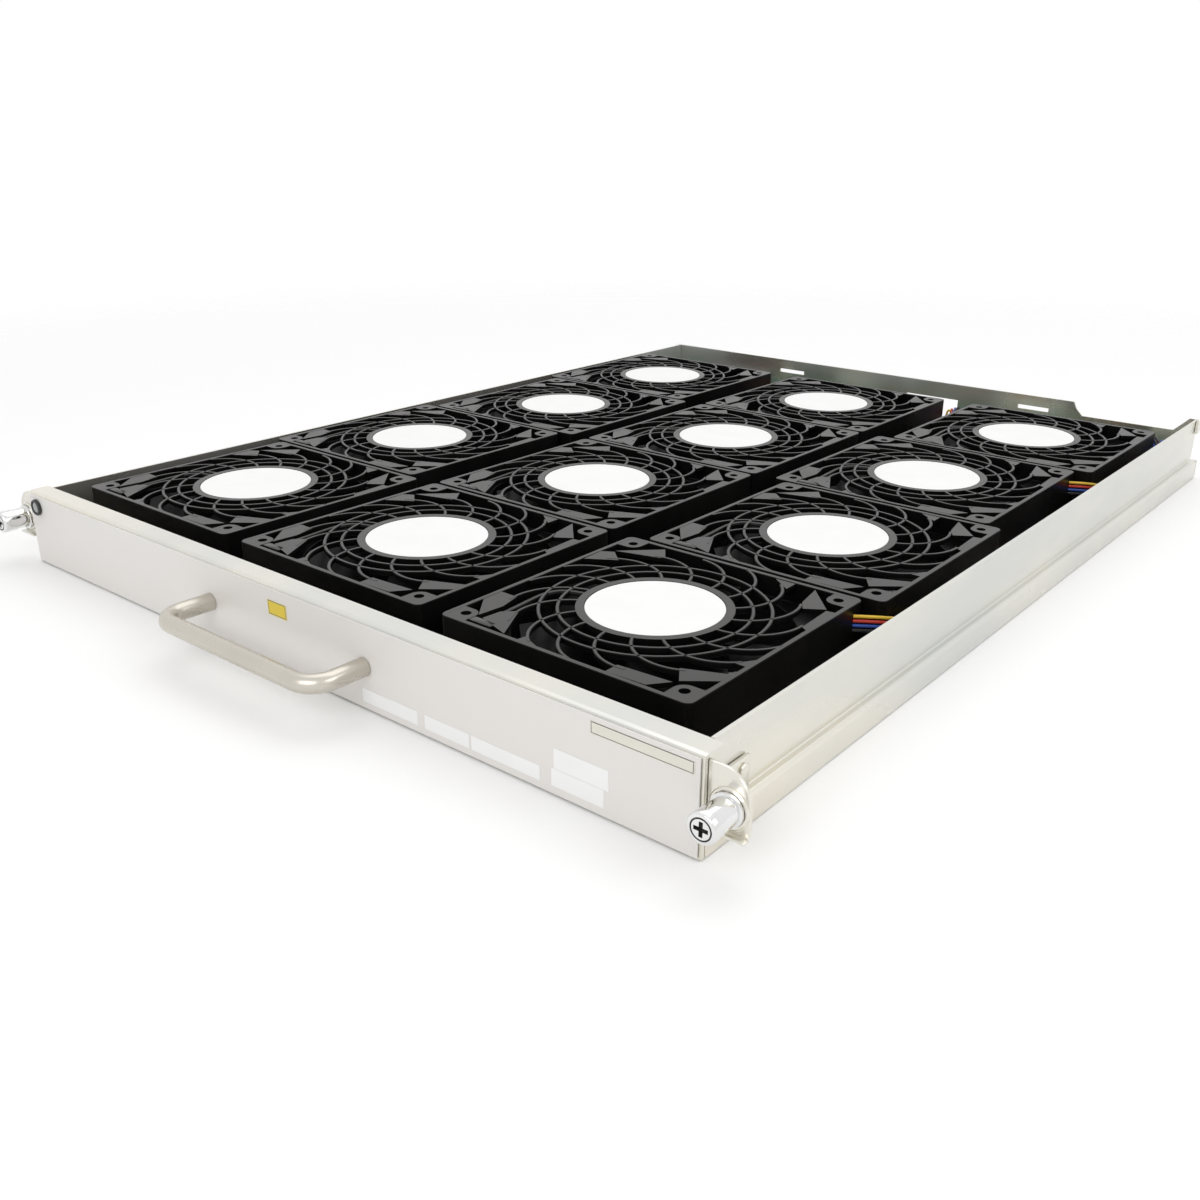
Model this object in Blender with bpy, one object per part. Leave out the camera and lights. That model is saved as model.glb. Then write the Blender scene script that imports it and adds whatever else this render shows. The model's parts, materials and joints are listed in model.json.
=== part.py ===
"""Pull-out fan tray for a network chassis: a sheet-metal tray with twelve 120 mm axial fans.

Metres, +Z up. The front panel faces -Y, the rear connector faces +Y. The origin lies on the underside
of the tray floor, midway across it, on the web between the second and third fan rows.
"""
import math

import bmesh
import bpy
from mathutils import Matrix, Vector

# Sheet metal
SHEET = 0.0015                  # thickness of the tray's sheet
SEAT = 0.0003                   # gap between two pieces that touch
BEND = 0.0012                   # radius on the outside of a bend

# Fans
FAN = 0.120                     # side of a square fan frame
FAN_DEPTH = 0.038               # height of a fan frame
FAN_CORNER = 0.0035             # chamfer on the frame's upright corners
GUARD_T = 0.0024                # thickness of the moulded guard
GUARD_HUB_R = 0.0317            # radius of the guard's middle disc
GUARD_RINGS = (0.0387, 0.0462)  # radii of the guard's two rings
DUCT_WALL = 0.0030              # thinnest wall between the air duct and the side of the frame
GUARD_ARMS = 17
ARM_W = 0.0015                  # width of an arm or a ring
ARM_TURN = (0.0, 3.0, 8.5, 24.0)  # degrees an arm has turned at hub, rings and edge
ARM_PHASE = 16.3                # direction of the first arm, degrees

# Rotor
ROTOR_R = 0.0300
BLADES = 5
BLADE_TIP_GAP = 0.0014          # running gap between blade tips and duct
BLADE_T = 0.0022
BLADE_ROOT = 0.0021             # depth of a blade's root inside the hub
BLADE_TOP = 0.002               # top of the hub to a blade's upper edge
BLADE_FOOT = 0.004              # a blade's lower edge to the foot of the hub
BLADE_SWEEP = 38.0              # degrees a blade turns from its upper to its lower edge
BLADE_LEAN = 10.0               # degrees its tip leads its root
ROTOR_DROP = 0.0006             # running gap under the guard's disc
ROTOR_H = 0.029
SHAFT_R = 0.0024
SHAFT_L = 0.0012
SHAFT_CLEARANCE = 0.0006

# Layout of the fans
ROWS = 4
COLUMNS = 3
ROW_PITCH = 0.122
COLUMN_PITCH = (0.132, 0.140)   # first and third rows, second and fourth rows
SIDE_GAP = 0.008                # widest row to the side wall
FRONT_GAP = 0.020               # first row to the front panel
BAY = 0.0575                    # last row to the rear panel
FAN_PROUD = 0.0015              # how far the fans stand above the walls

# Side rails
LEDGE_W = 0.004                 # how far the runner stands out from the wall
LEDGE_Z = 0.0118                # height of the runner

# Floor
VENT_MARGIN = 0.0005            # how far a round vent stays inside the duct above it
VENT_SIDES = 24
STANDOFF_R = 0.003
STANDOFF_X = (-0.195, -0.070, 0.035, 0.195)

# Front panel
LIP = 0.0105                    # depth of the folded upper edge
OVERLAY_T = 0.0005
OVERLAY_MARGIN = 0.0012

# Handle
HANDLE_SPAN = 0.104             # between the middles of the legs
HANDLE_REACH = 0.0262           # panel to the middle of the grip
HANDLE_D = 0.008
HANDLE_BEND = 0.010
HANDLE_SCREW_R = 0.002
HANDLE_SCREW_L = 0.009
HANDLE_SCREW_HEAD_R = 0.0038
HANDLE_SCREW_HEAD_T = 0.0024
SCREW_CLEARANCE = 0.0004

# Ears with captive screws
EAR_REACH = 0.0200              # side wall to the ear's outer edge
EAR_LOW = 0.0123
EAR_LIP_GAP = 0.0006            # ear to the folded edge of the panel
EAR_LEG = 0.028                 # length of the leg along the side wall
EAR_CORNER = 0.0022             # cut of the ear's small corners
EAR_TAPER = 0.0120              # top of the ear to where its outer edge starts to slope in
EAR_SHOULDER = (0.0056, 0.0012)  # below the top, at a fifth and at two thirds of the sloping shoulder
EAR_SLOPE = 0.0110              # length of the shoulder across the ear
EAR_BOSS_R = 0.0070
EAR_BOSS_T = 0.0008
KNOB_X = 0.0125                 # side wall to the screw's axis
KNOB_Z = 0.0222
FERRULE_R = 0.0052
FERRULE_FLANGE_R = 0.0061
FERRULE_FLANGE_T = 0.0012
FERRULE_L = 0.0081
FERRULE_BORE_R = 0.0042
KNOB_TRAVEL = 0.003
KNOB_HEAD_R = 0.0056
KNOB_HEAD_L = 0.0030
KNOB_CHAMFER = 0.0006
KNOB_NECK_R = 0.0037
KNOB_OVERLAP = 0.0015           # neck inside the ferrule at rest
SHANK_R = 0.0022
SHANK_TIP = 0.0007              # shank behind the ear at rest
CLIP_T = 0.0010

# Status lamp
LAMP_INSET = 0.0090             # from the panel's left end
LAMP_BELOW = 0.0071             # from the panel's upper edge
LAMP_R = 0.0042
LAMP_T = 0.0014
LAMP_FACE = 0.55                # share of the lamp's radius and height left flat

# Rear panel
TAB_H = 0.0084                  # height of the tabs that wrap round the rails
TAB_L = 0.006
DIP_INSET = 0.0080              # from the inside of the right wall to the lowered stretch of the edge
DIP_W = 0.069
DIP_DEPTH = 0.0090
DIP_SLOPE = 0.0045
WINDOW = (0.004, 0.045, 0.0071, 0.0271)
SLOT_X = (-0.097, 0.101)
SLOT_W = 0.022
SLOT_H = 0.0028
SLOT_Z = (0.0137, 0.0297)
GUIDE_HOLE_INSET = 0.0095       # from the inside of each side wall
GUIDE_HOLE_Z = 0.0200
GUIDE_HOLE_R = 0.0031

# Control board
BOARD_T = 0.0024
BOARD_CLEAR = 0.0039            # floor to the underside of the board
BOARD_EDGE_GAP = 0.0035         # board to the rear panel
BOARD_SIDE_GAP = 0.0015         # board to the side walls
BOARD_FAN_GAP = 0.0015          # board to the last row of fans
HEADER_W = 0.0112
HEADER_DEPTH = 0.0082
HEADER_BASE = 0.003
HEADER_WALL_T = 0.0022
HEADER_WALL_H = 0.0085
HEADER_Y = 0.0065               # board's front edge to the middle of the headers
HEADER_PITCH = 0.0116
HEADER_GROUPS = ((0.1884, 3), (0.0894, 3), (0.0630, 1), (-0.0631, 3))
PAIR_HEADER_X = -0.129
PAIR_HEADER_W = 0.0086
PLUG_H = 0.0142
CHOKE_X = -0.1083
CHOKE_R = 0.0070
CHOKE_H = 0.0080
MODULE_X = (0.190, 0.146, 0.058, -0.020)  # power modules, lying flat
MODULE_W = 0.018
MODULE_L = 0.015
MODULE_H = 0.0045
MODULE_TAB_L = 0.010
MODULE_TAB_T = 0.0013
MODULE_GAP = 0.002              # headers to the modules
CAP_X = (0.033, 0.017)          # capacitors, standing
CAP_R = 0.0035
CAP_H = 0.0105
CAP_INSET = 0.007               # board's rear edge to the middle of the capacitors

# Rear connector
SOCKET_X = -0.1548
SOCKET_W = 0.0590
SOCKET_H = 0.0160
SOCKET_L = 0.0215
SOCKET_WALL = 0.0022
SOCKET_DEPTH = 0.0140
SOCKET_MARGIN = 0.0008          # clearance all round in the panel's opening

# Wire looms
LOOM_R = (0.0026, 0.0034, 0.0034, 0.0016)
LOOM_ARCH = 0.004               # height of the loom over the plugs
LOOM_RISE = 0.022
LOOM_CLEARANCE = 0.001
LOOM_LIFT = 0.0008              # loom above the floor
LOOM_TURN = 0.006               # reach of the bend out of the gap
LOOM_START = 0.042              # front of the first row to the end of the looms

# Derived places
DUCT_R = FAN / 2 - DUCT_WALL
GUARD_RADII = (GUARD_HUB_R, *GUARD_RINGS, DUCT_R)
FLOOR_TOP = SHEET
FAN_Z = FLOOR_TOP + SEAT
WALL_TOP = FAN_Z + FAN_DEPTH - FAN_PROUD
ROW_SPAN = (ROWS - 1) * ROW_PITCH + FAN
FAN_FRONT = -ROW_SPAN / 2
FAN_REAR = ROW_SPAN / 2
WALL_IN = max(COLUMN_PITCH) * (COLUMNS - 1) / 2 + FAN / 2 + SIDE_GAP
WALL_OUT = WALL_IN + SHEET
RUNNER_OUT = WALL_OUT + LEDGE_W
PANEL_BACK = FAN_FRONT - FRONT_GAP
PANEL_FACE = PANEL_BACK - SHEET
REAR_IN = FAN_REAR + BAY
REAR_OUT = REAR_IN + SHEET
OVERLAY_BACK = PANEL_FACE - SEAT
OVERLAY_FACE = OVERLAY_BACK - OVERLAY_T
HANDLE_Z = WALL_TOP / 2
BOARD_Z = FLOOR_TOP + BOARD_CLEAR
BOARD_TOP = BOARD_Z + BOARD_T
BOARD_FRONT = FAN_REAR + BOARD_FAN_GAP
HEADER_MID_Y = BOARD_FRONT + HEADER_Y
EAR_FRONT = PANEL_BACK + SEAT
EAR_HIGH = WALL_TOP - SHEET - EAR_LIP_GAP
EAR_BACK = EAR_FRONT + SHEET
KNOB_AXIS_X = WALL_OUT + KNOB_X
BOSS_FACE = EAR_FRONT - EAR_BOSS_T
FERRULE_BACK = BOSS_FACE - SEAT
FERRULE_FRONT = FERRULE_BACK - FERRULE_L
NECK_END = FERRULE_FRONT + KNOB_OVERLAP
HEAD_BACK = FERRULE_FRONT - KNOB_TRAVEL - SEAT
LAMP_Z = WALL_TOP - LAMP_BELOW
DIP_END = WALL_IN - DIP_INSET
DIP_START = DIP_END - DIP_W


def material(name, colour, roughness, metallic=0.0):
    made = bpy.data.materials.new(name)
    made.use_nodes = True
    shader = made.node_tree.nodes["Principled BSDF"]
    shader.inputs["Base Color"].default_value = (*colour, 1.0)
    shader.inputs["Roughness"].default_value = roughness
    shader.inputs["Metallic"].default_value = metallic
    return made


def add_object(name, shape, mat, parent=None, location=(0, 0, 0)):
    """Turn a bmesh into a named object."""
    mesh = bpy.data.meshes.new(name)
    bmesh.ops.recalc_face_normals(shape, faces=shape.faces)
    shape.to_mesh(mesh)
    shape.free()
    mesh.materials.append(mat)
    return place_mesh(name, mesh, parent, location)


def place_mesh(name, mesh, parent=None, location=(0, 0, 0)):
    made = bpy.data.objects.new(name, mesh)
    bpy.context.scene.collection.objects.link(made)
    made.parent = parent
    made.location = location
    return made


def add_empty(name, location):
    made = bpy.data.objects.new(name, None)
    bpy.context.scene.collection.objects.link(made)
    made.location = location
    return made


def smooth(made, angle=35.0):
    made.data.shade_smooth()
    made.data.set_sharp_from_angle(angle=math.radians(angle))


def add_box(shape, low, high):
    """Add a box to a bmesh from its lowest and highest corners."""
    size = [b - a for a, b in zip(low, high)]
    middle = [(a + b) / 2 for a, b in zip(low, high)]
    made = bmesh.ops.create_cube(shape, size=1.0)
    bmesh.ops.scale(shape, verts=made["verts"], vec=size)
    bmesh.ops.translate(shape, verts=made["verts"], vec=middle)


def add_prism(shape, outline, start, direction):
    """Add a flat outline, given as points in space, pushed along a direction."""
    corners = [shape.verts.new(Vector(point) + Vector(start)) for point in outline]
    face = shape.faces.new(corners)
    pushed = bmesh.ops.extrude_face_region(shape, geom=[face])
    moved = [item for item in pushed["geom"] if isinstance(item, bmesh.types.BMVert)]
    bmesh.ops.translate(shape, verts=moved, vec=direction)


def add_turned(shape, profile, steps, centre):
    """Spin a closed profile of (radius, height) points about the Y axis through a centre."""
    matrix = Matrix.Translation(centre)
    corners = [shape.verts.new(matrix @ Vector((r, y, 0.0))) for r, y in profile]
    edges = [shape.edges.new((a, b)) for a, b in zip(corners, corners[1:] + corners[:1])]
    bmesh.ops.spin(shape, geom=corners + edges, cent=centre, axis=(0, 1, 0), angle=math.tau,
                   steps=steps, use_merge=True, use_duplicate=False)
    bmesh.ops.remove_doubles(shape, verts=shape.verts, dist=1e-6)
    flat = [face for face in shape.faces if face.calc_area() < 1e-12]
    bmesh.ops.delete(shape, geom=flat, context="FACES_ONLY")
    loose = [edge for edge in shape.edges if not edge.link_faces]
    bmesh.ops.delete(shape, geom=loose, context="EDGES")


def add_rod(shape, radius, low, high, axis, steps, across=(0.0, 0.0)):
    """Add a solid rod along X, Y or Z between two heights."""
    turn = {"X": Matrix.Rotation(math.pi / 2, 4, "Y"), "Y": Matrix.Rotation(-math.pi / 2, 4, "X"),
            "Z": Matrix.Identity(4)}[axis]
    middle = (low + high) / 2
    place = {"X": (middle, *across), "Y": (across[0], middle, across[1]), "Z": (*across, middle)}[axis]
    bmesh.ops.create_cone(shape, cap_ends=True, segments=steps, radius1=radius, radius2=radius,
                          depth=high - low, matrix=Matrix.Translation(place) @ turn)


def boolean(target, tool, operation="DIFFERENCE"):
    tool.hide_render = True
    tool.display_type = "WIRE"
    cut = target.modifiers.new(operation.title(), "BOOLEAN")
    cut.operation = operation
    cut.solver = "EXACT"
    cut.object = tool


def settled_mesh(made):
    """Return the object's mesh with its modifiers worked in, for its copies to share."""
    bpy.context.view_layer.update()
    graph = bpy.context.evaluated_depsgraph_get()
    return bpy.data.meshes.new_from_object(made.evaluated_get(graph))


def fan_places():
    for row in range(ROWS):
        for column in range(COLUMNS):
            x = (column - (COLUMNS - 1) / 2) * COLUMN_PITCH[row % 2]
            y = (row - (ROWS - 1) / 2) * ROW_PITCH
            yield row, column, x, y


def bent_sheet(name, path, start, direction, mat):
    """Fold a sheet along a path: its bends are rounded, then it gets its thickness."""
    shape = bmesh.new()
    corners = [shape.verts.new(Vector(point) + Vector(start)) for point in path]
    edges = [shape.edges.new(pair) for pair in zip(corners, corners[1:])]
    pushed = bmesh.ops.extrude_edge_only(shape, edges=edges)
    moved = [item for item in pushed["geom"] if isinstance(item, bmesh.types.BMVert)]
    bmesh.ops.translate(shape, verts=moved, vec=direction)
    mesh = bpy.data.meshes.new(name)
    bmesh.ops.recalc_face_normals(shape, faces=shape.faces)
    shape.to_mesh(mesh)
    shape.free()
    mesh.materials.append(mat)
    made = place_mesh(name, mesh)
    bend = made.modifiers.new("Bends", "BEVEL")
    bend.width = BEND
    bend.segments = 2
    bend.limit_method = "ANGLE"
    wall = made.modifiers.new("Sheet", "SOLIDIFY")
    wall.thickness = SHEET
    wall.offset = 0.0
    wall.use_even_offset = True
    return made


def build_floor(mat, cutter_mat):
    """Flat floor with a round vent under each fan and studs for the board."""
    edge = RUNNER_OUT - SHEET - SEAT
    shape = bmesh.new()
    add_box(shape, (-edge, PANEL_BACK + SEAT, 0), (edge, REAR_IN - SEAT, FLOOR_TOP))
    floor = add_object("tray_floor", shape, mat)
    vents = bmesh.new()
    for _, _, x, y in fan_places():
        add_rod(vents, DUCT_R - VENT_MARGIN, -SHEET, 2 * SHEET, "Z", VENT_SIDES, (x, y))
    boolean(floor, add_object("vent_cutters", vents, cutter_mat))
    studs = bmesh.new()
    stud_y = (BOARD_FRONT + REAR_IN) / 2
    for x in STANDOFF_X:
        add_rod(studs, STANDOFF_R, FLOOR_TOP / 2, BOARD_Z - SEAT, "Z", 6, (x, stud_y))
    boolean(floor, add_object("stud_shapes", studs, cutter_mat), "UNION")


def build_rails(mat, cutter_mat):
    """Stepped side walls: a runner low down, a wall set in above it, notched under the panel's lip."""
    notch = bmesh.new()
    add_box(notch, (-RUNNER_OUT, PANEL_FACE, WALL_TOP - SHEET - SEAT),
            (RUNNER_OUT, PANEL_FACE + LIP + SEAT, WALL_TOP + SHEET))
    cutter = add_object("lip_notch", notch, cutter_mat)
    half = SHEET / 2
    path = ((RUNNER_OUT - half, 0, 0), (RUNNER_OUT - half, 0, LEDGE_Z - half),
            (WALL_OUT - half, 0, LEDGE_Z - half), (WALL_OUT - half, 0, WALL_TOP))
    length = (REAR_IN - SEAT) - (PANEL_BACK + SEAT)
    for name, side in (("side_rail_left", -1), ("side_rail_right", 1)):
        turned = [(side * x, y, z) for x, y, z in path]
        boolean(bent_sheet(name, turned, (0, PANEL_BACK + SEAT, 0), (0, length, 0), mat), cutter)


def build_front_panel(mat, overlay_mat, cutter_mat):
    """Front panel with its upper edge folded back, and the thin sheet that faces it."""
    half = SHEET / 2
    path = ((0, PANEL_FACE + half, 0), (0, PANEL_FACE + half, WALL_TOP - half),
            (0, PANEL_FACE + LIP, WALL_TOP - half))
    panel = bent_sheet("front_panel", path, (-RUNNER_OUT, 0, 0), (2 * RUNNER_OUT, 0, 0), mat)
    holes = bmesh.new()
    for side in (-1, 1):
        add_rod(holes, HANDLE_SCREW_R + SCREW_CLEARANCE, PANEL_FACE - HANDLE_D, PANEL_BACK + HANDLE_D,
                "Y", 8, (side * HANDLE_SPAN / 2, HANDLE_Z))
    cutter = add_object("handle_holes", holes, cutter_mat)
    boolean(panel, cutter)
    edge = RUNNER_OUT - OVERLAY_MARGIN
    shape = bmesh.new()
    add_box(shape, (-edge, OVERLAY_FACE, OVERLAY_MARGIN / 2),
            (edge, OVERLAY_BACK, WALL_TOP - OVERLAY_MARGIN))
    boolean(add_object("front_overlay", shape, overlay_mat), cutter)


def handle_path():
    """Middle line of the grip, from one leg to the other."""
    leg = OVERLAY_FACE - SEAT
    grip = PANEL_FACE - HANDLE_REACH
    points = [(-HANDLE_SPAN / 2, leg)]
    for side in (-1, 1):
        centre = (side * (HANDLE_SPAN / 2 - HANDLE_BEND), grip + HANDLE_BEND)
        for step in range(4):
            turn = math.radians(30.0 * step)
            reach = (math.cos(turn), math.sin(turn)) if side < 0 else (math.sin(turn), math.cos(turn))
            points.append((centre[0] + side * HANDLE_BEND * reach[0], centre[1] - HANDLE_BEND * reach[1]))
    points.append((HANDLE_SPAN / 2, leg))
    return points


def build_handle(mat, screw_mat, cutter_mat):
    """Bent round bar, drilled in both ends for the screws that hold it."""
    curve = bpy.data.curves.new("handle_line", "CURVE")
    curve.dimensions = "3D"
    curve.bevel_depth = HANDLE_D / 2
    curve.bevel_resolution = 2
    curve.use_fill_caps = True
    line = curve.splines.new("POLY")
    points = handle_path()
    line.points.add(len(points) - 1)
    for point, (x, y) in zip(line.points, points):
        point.co = (x, y, HANDLE_Z, 1.0)
    guide = bpy.data.objects.new("handle_guide", curve)
    bpy.context.scene.collection.objects.link(guide)
    mesh = settled_mesh(guide)
    bpy.data.objects.remove(guide)
    mesh.materials.clear()
    mesh.materials.append(mat)
    handle = place_mesh("handle", mesh)
    bores = bmesh.new()
    leg = OVERLAY_FACE - SEAT
    head = PANEL_BACK + SEAT
    tip = head - HANDLE_SCREW_L
    for side in (-1, 1):
        add_rod(bores, HANDLE_SCREW_R + SCREW_CLEARANCE, tip - SCREW_CLEARANCE, leg + SHEET,
                "Y", 8, (side * HANDLE_SPAN / 2, HANDLE_Z))
    boolean(handle, add_object("handle_bores", bores, cutter_mat))
    for name, side in (("handle_screw_left", -1), ("handle_screw_right", 1)):
        shape = bmesh.new()
        profile = ((0, tip), (HANDLE_SCREW_R, tip), (HANDLE_SCREW_R, head), (HANDLE_SCREW_HEAD_R, head),
                   (HANDLE_SCREW_HEAD_R, head + HANDLE_SCREW_HEAD_T), (0, head + HANDLE_SCREW_HEAD_T))
        add_turned(shape, profile, 8, (side * HANDLE_SPAN / 2, 0, HANDLE_Z))
        smooth(add_object(name, shape, screw_mat))


def ear_outline():
    """Ear seen from the front, from the side wall outwards."""
    low, high = EAR_LOW, EAR_HIGH
    out = WALL_OUT + EAR_REACH
    return ((WALL_OUT + SEAT, low), (out - EAR_CORNER, low), (out, low + EAR_CORNER),
            (out, high - EAR_TAPER), (out - EAR_SLOPE / 5, high - EAR_SHOULDER[0]),
            (out - EAR_SLOPE * 2 / 3, high - EAR_SHOULDER[1]), (out - EAR_SLOPE, high),
            (WALL_OUT + SEAT, high))


def build_ears(mat, cutter_mat):
    """Brackets that carry the captive screws: a leg on the side wall and an ear facing forward."""
    for name, side in (("ear_left", -1), ("ear_right", 1)):
        shape = bmesh.new()
        add_prism(shape, [(side * x, 0, z) for x, z in ear_outline()], (0, EAR_FRONT, 0), (0, SHEET, 0))
        ear = add_object(name, shape, mat)
        extra = bmesh.new()
        inner, outer = side * (WALL_OUT + SEAT), side * (WALL_OUT + SEAT + SHEET)
        add_box(extra, (min(inner, outer), EAR_FRONT, EAR_LOW + SHEET),
                (max(inner, outer), EAR_FRONT + EAR_LEG, EAR_HIGH - SHEET))
        add_rod(extra, EAR_BOSS_R, BOSS_FACE, EAR_FRONT + SHEET / 2, "Y", 16, (side * KNOB_AXIS_X, KNOB_Z))
        boolean(ear, add_object(name + "_leg_shape", extra, cutter_mat), "UNION")
        hole = bmesh.new()
        add_rod(hole, SHANK_R + 2 * SCREW_CLEARANCE, BOSS_FACE - SHEET, EAR_BACK + SHEET, "Y", 12,
                (side * KNOB_AXIS_X, KNOB_Z))
        boolean(ear, add_object(name + "_hole_cutter", hole, cutter_mat))


def build_captive_screws(chrome_mat, clip_mat):
    """Fixed ferrule, sprung knob with its shank, and the clip that keeps the shank in."""
    clip_low = NECK_END + SEAT
    for side_name, side in (("left", -1), ("right", 1)):
        place = (side * KNOB_AXIS_X, 0, KNOB_Z)
        shape = bmesh.new()
        flange = FERRULE_BACK - FERRULE_FLANGE_T
        profile = ((FERRULE_BORE_R, FERRULE_FRONT), (FERRULE_R, FERRULE_FRONT), (FERRULE_R, flange),
                   (FERRULE_FLANGE_R, flange), (FERRULE_FLANGE_R, FERRULE_BACK),
                   (FERRULE_BORE_R, FERRULE_BACK))
        add_turned(shape, profile, 12, place)
        smooth(add_object("ferrule_" + side_name, shape, chrome_mat))
        joint = add_empty("screw_axis_" + side_name, (place[0], clip_low, place[2]))
        shape = bmesh.new()
        profile = ((KNOB_NECK_R, 0), (KNOB_NECK_R, CLIP_T), (SHANK_R + 1.5 * SCREW_CLEARANCE, CLIP_T),
                   (SHANK_R + 1.5 * SCREW_CLEARANCE, 0))
        add_turned(shape, profile, 10, (0, 0, 0))
        smooth(add_object("screw_clip_" + side_name, shape, clip_mat, joint))
        shape = bmesh.new()
        face = HEAD_BACK - KNOB_HEAD_L - clip_low
        back = HEAD_BACK - clip_low
        tip = EAR_BACK + SHANK_TIP - clip_low
        profile = ((0, face), (KNOB_HEAD_R - KNOB_CHAMFER, face), (KNOB_HEAD_R, face + KNOB_CHAMFER),
                   (KNOB_HEAD_R, back), (KNOB_NECK_R, back), (KNOB_NECK_R, -SEAT), (SHANK_R, -SEAT),
                   (SHANK_R, tip), (0, tip))
        add_turned(shape, profile, 12, (0, 0, 0))
        smooth(add_object("captive_screw_" + side_name, shape, chrome_mat, joint))


def build_lamp(mat):
    shape = bmesh.new()
    back = OVERLAY_FACE - SEAT
    profile = ((0, back - LAMP_T), (LAMP_R * LAMP_FACE, back - LAMP_T),
               (LAMP_R, back - LAMP_T * LAMP_FACE), (LAMP_R, back), (0, back))
    add_turned(shape, profile, 12, (LAMP_INSET - RUNNER_OUT, 0, LAMP_Z))
    smooth(add_object("status_lamp", shape, mat))


def rear_outline():
    """Rear panel seen from the front: wide behind the runners, dipped at the upper right."""
    low_edge, high_edge = RUNNER_OUT, WALL_OUT - SEAT
    shoulder = LEDGE_Z - SEAT
    dip = WALL_TOP - DIP_DEPTH
    return ((-low_edge, 0), (low_edge, 0), (low_edge, shoulder), (high_edge, shoulder),
            (high_edge, WALL_TOP), (DIP_END + DIP_SLOPE, WALL_TOP), (DIP_END, dip + DIP_SLOPE),
            (DIP_END - DIP_SLOPE, dip), (DIP_START + DIP_SLOPE, dip), (DIP_START, dip + DIP_SLOPE),
            (DIP_START - DIP_SLOPE / 2, WALL_TOP), (-high_edge, WALL_TOP), (-high_edge, shoulder),
            (-low_edge, shoulder))


def build_rear_panel(mat, cutter_mat):
    """Rear panel with the connector's opening, a window, slots, guide holes and corner tabs."""
    shape = bmesh.new()
    add_prism(shape, [(x, 0, z) for x, z in rear_outline()], (0, REAR_IN, 0), (0, SHEET, 0))
    panel = add_object("rear_panel", shape, mat)
    tabs = bmesh.new()
    for side in (-1, 1):
        near, far = side * (WALL_OUT - SHEET), side * (WALL_OUT + SEAT + SHEET)
        low = WALL_TOP - TAB_H
        add_prism(tabs, ((near, REAR_OUT, low), (far, REAR_OUT, low), (far, REAR_OUT - TAB_L, low),
                         (side * (WALL_OUT + SEAT), REAR_OUT - TAB_L, low),
                         (side * (WALL_OUT + SEAT), REAR_IN, low), (near, REAR_IN, low)),
                  (0, 0, 0), (0, 0, TAB_H))
    boolean(panel, add_object("corner_tabs", tabs, cutter_mat), "UNION")
    cuts = bmesh.new()
    near, far = REAR_IN - SHEET, REAR_OUT + SHEET
    x0, x1, z0, z1 = WINDOW
    add_box(cuts, (x0, near, z0), (x1, far, z1))
    for x in SLOT_X:
        for z in SLOT_Z:
            add_box(cuts, (x - SLOT_W / 2, near, z - SLOT_H / 2), (x + SLOT_W / 2, far, z + SLOT_H / 2))
    half = SOCKET_W / 2 + SOCKET_MARGIN
    add_box(cuts, (SOCKET_X - half, near, BOARD_TOP + SEAT - SOCKET_MARGIN),
            (SOCKET_X + half, far, BOARD_TOP + SEAT + SOCKET_H + SOCKET_MARGIN))
    for side in (-1, 1):
        add_rod(cuts, GUIDE_HOLE_R, near, far, "Y", 10, (side * (WALL_IN - GUIDE_HOLE_INSET), GUIDE_HOLE_Z))
    boolean(panel, add_object("rear_cutters", cuts, cutter_mat))


def arm_point(segment, radius, arm, side, height):
    """A point on a guard arm: side is -1 or +1 for its upper edges and 0 for its keel."""
    inner, outer = GUARD_RADII[segment], GUARD_RADII[segment + 1]
    slope = math.radians(ARM_TURN[segment + 1] - ARM_TURN[segment]) / (outer - inner)
    turn = math.radians(ARM_TURN[segment]) + slope * (radius - inner)
    spread = side * ARM_W / 2 * math.hypot(1, radius * slope) / radius
    angle = math.radians(ARM_PHASE) + math.tau * arm / GUARD_ARMS + turn + spread
    return radius * math.cos(angle), radius * math.sin(angle), height


def arm_stations(shape, arm):
    """Corners of one arm where it leaves the disc, crosses each ring and meets the frame."""
    last = len(GUARD_RADII) - 2
    seat = FAN_DEPTH - GUARD_T
    stations = []
    for index, radius in enumerate(GUARD_RADII):
        before, after = max(index - 1, 0), min(index, last)
        half = ARM_W / 2 if 0 < index <= last else 0.0
        near = [shape.verts.new(arm_point(before, radius - half, arm, side, FAN_DEPTH)) for side in (-1, 1)]
        far = near
        if half:
            far = [shape.verts.new(arm_point(after, radius + half, arm, side, FAN_DEPTH)) for side in (-1, 1)]
        stations.append((near, far, shape.verts.new(arm_point(after, radius, arm, 0, seat))))
    return stations


def add_arm(shape, stations):
    """Wedge-shaped arm: a flat top and two flanks down to a keel."""
    for (_, start, keel_a), (end, _, keel_b) in zip(stations, stations[1:]):
        shape.faces.new((start[0], start[1], end[1], end[0]))
        shape.faces.new((start[0], end[0], keel_b, keel_a))
        shape.faces.new((start[1], keel_a, keel_b, end[1]))


def add_ring_piece(shape, here, there):
    """Stretch of a ring from one arm to the next, and its crossing with the first arm."""
    (near_a, far_a, keel_a), (near_b, far_b, keel_b) = here, there
    shape.faces.new((near_a[0], far_a[0], far_a[1], near_a[1]))
    shape.faces.new((near_a[1], far_a[1], far_b[0], near_b[0]))
    shape.faces.new((near_a[1], near_b[0], keel_b, keel_a))
    shape.faces.new((far_a[1], keel_a, keel_b, far_b[0]))


def add_loop(shape, corners):
    pairs = zip(corners, corners[1:] + corners[:1])
    return [shape.edges.get(pair) or shape.edges.new(pair) for pair in pairs]


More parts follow.
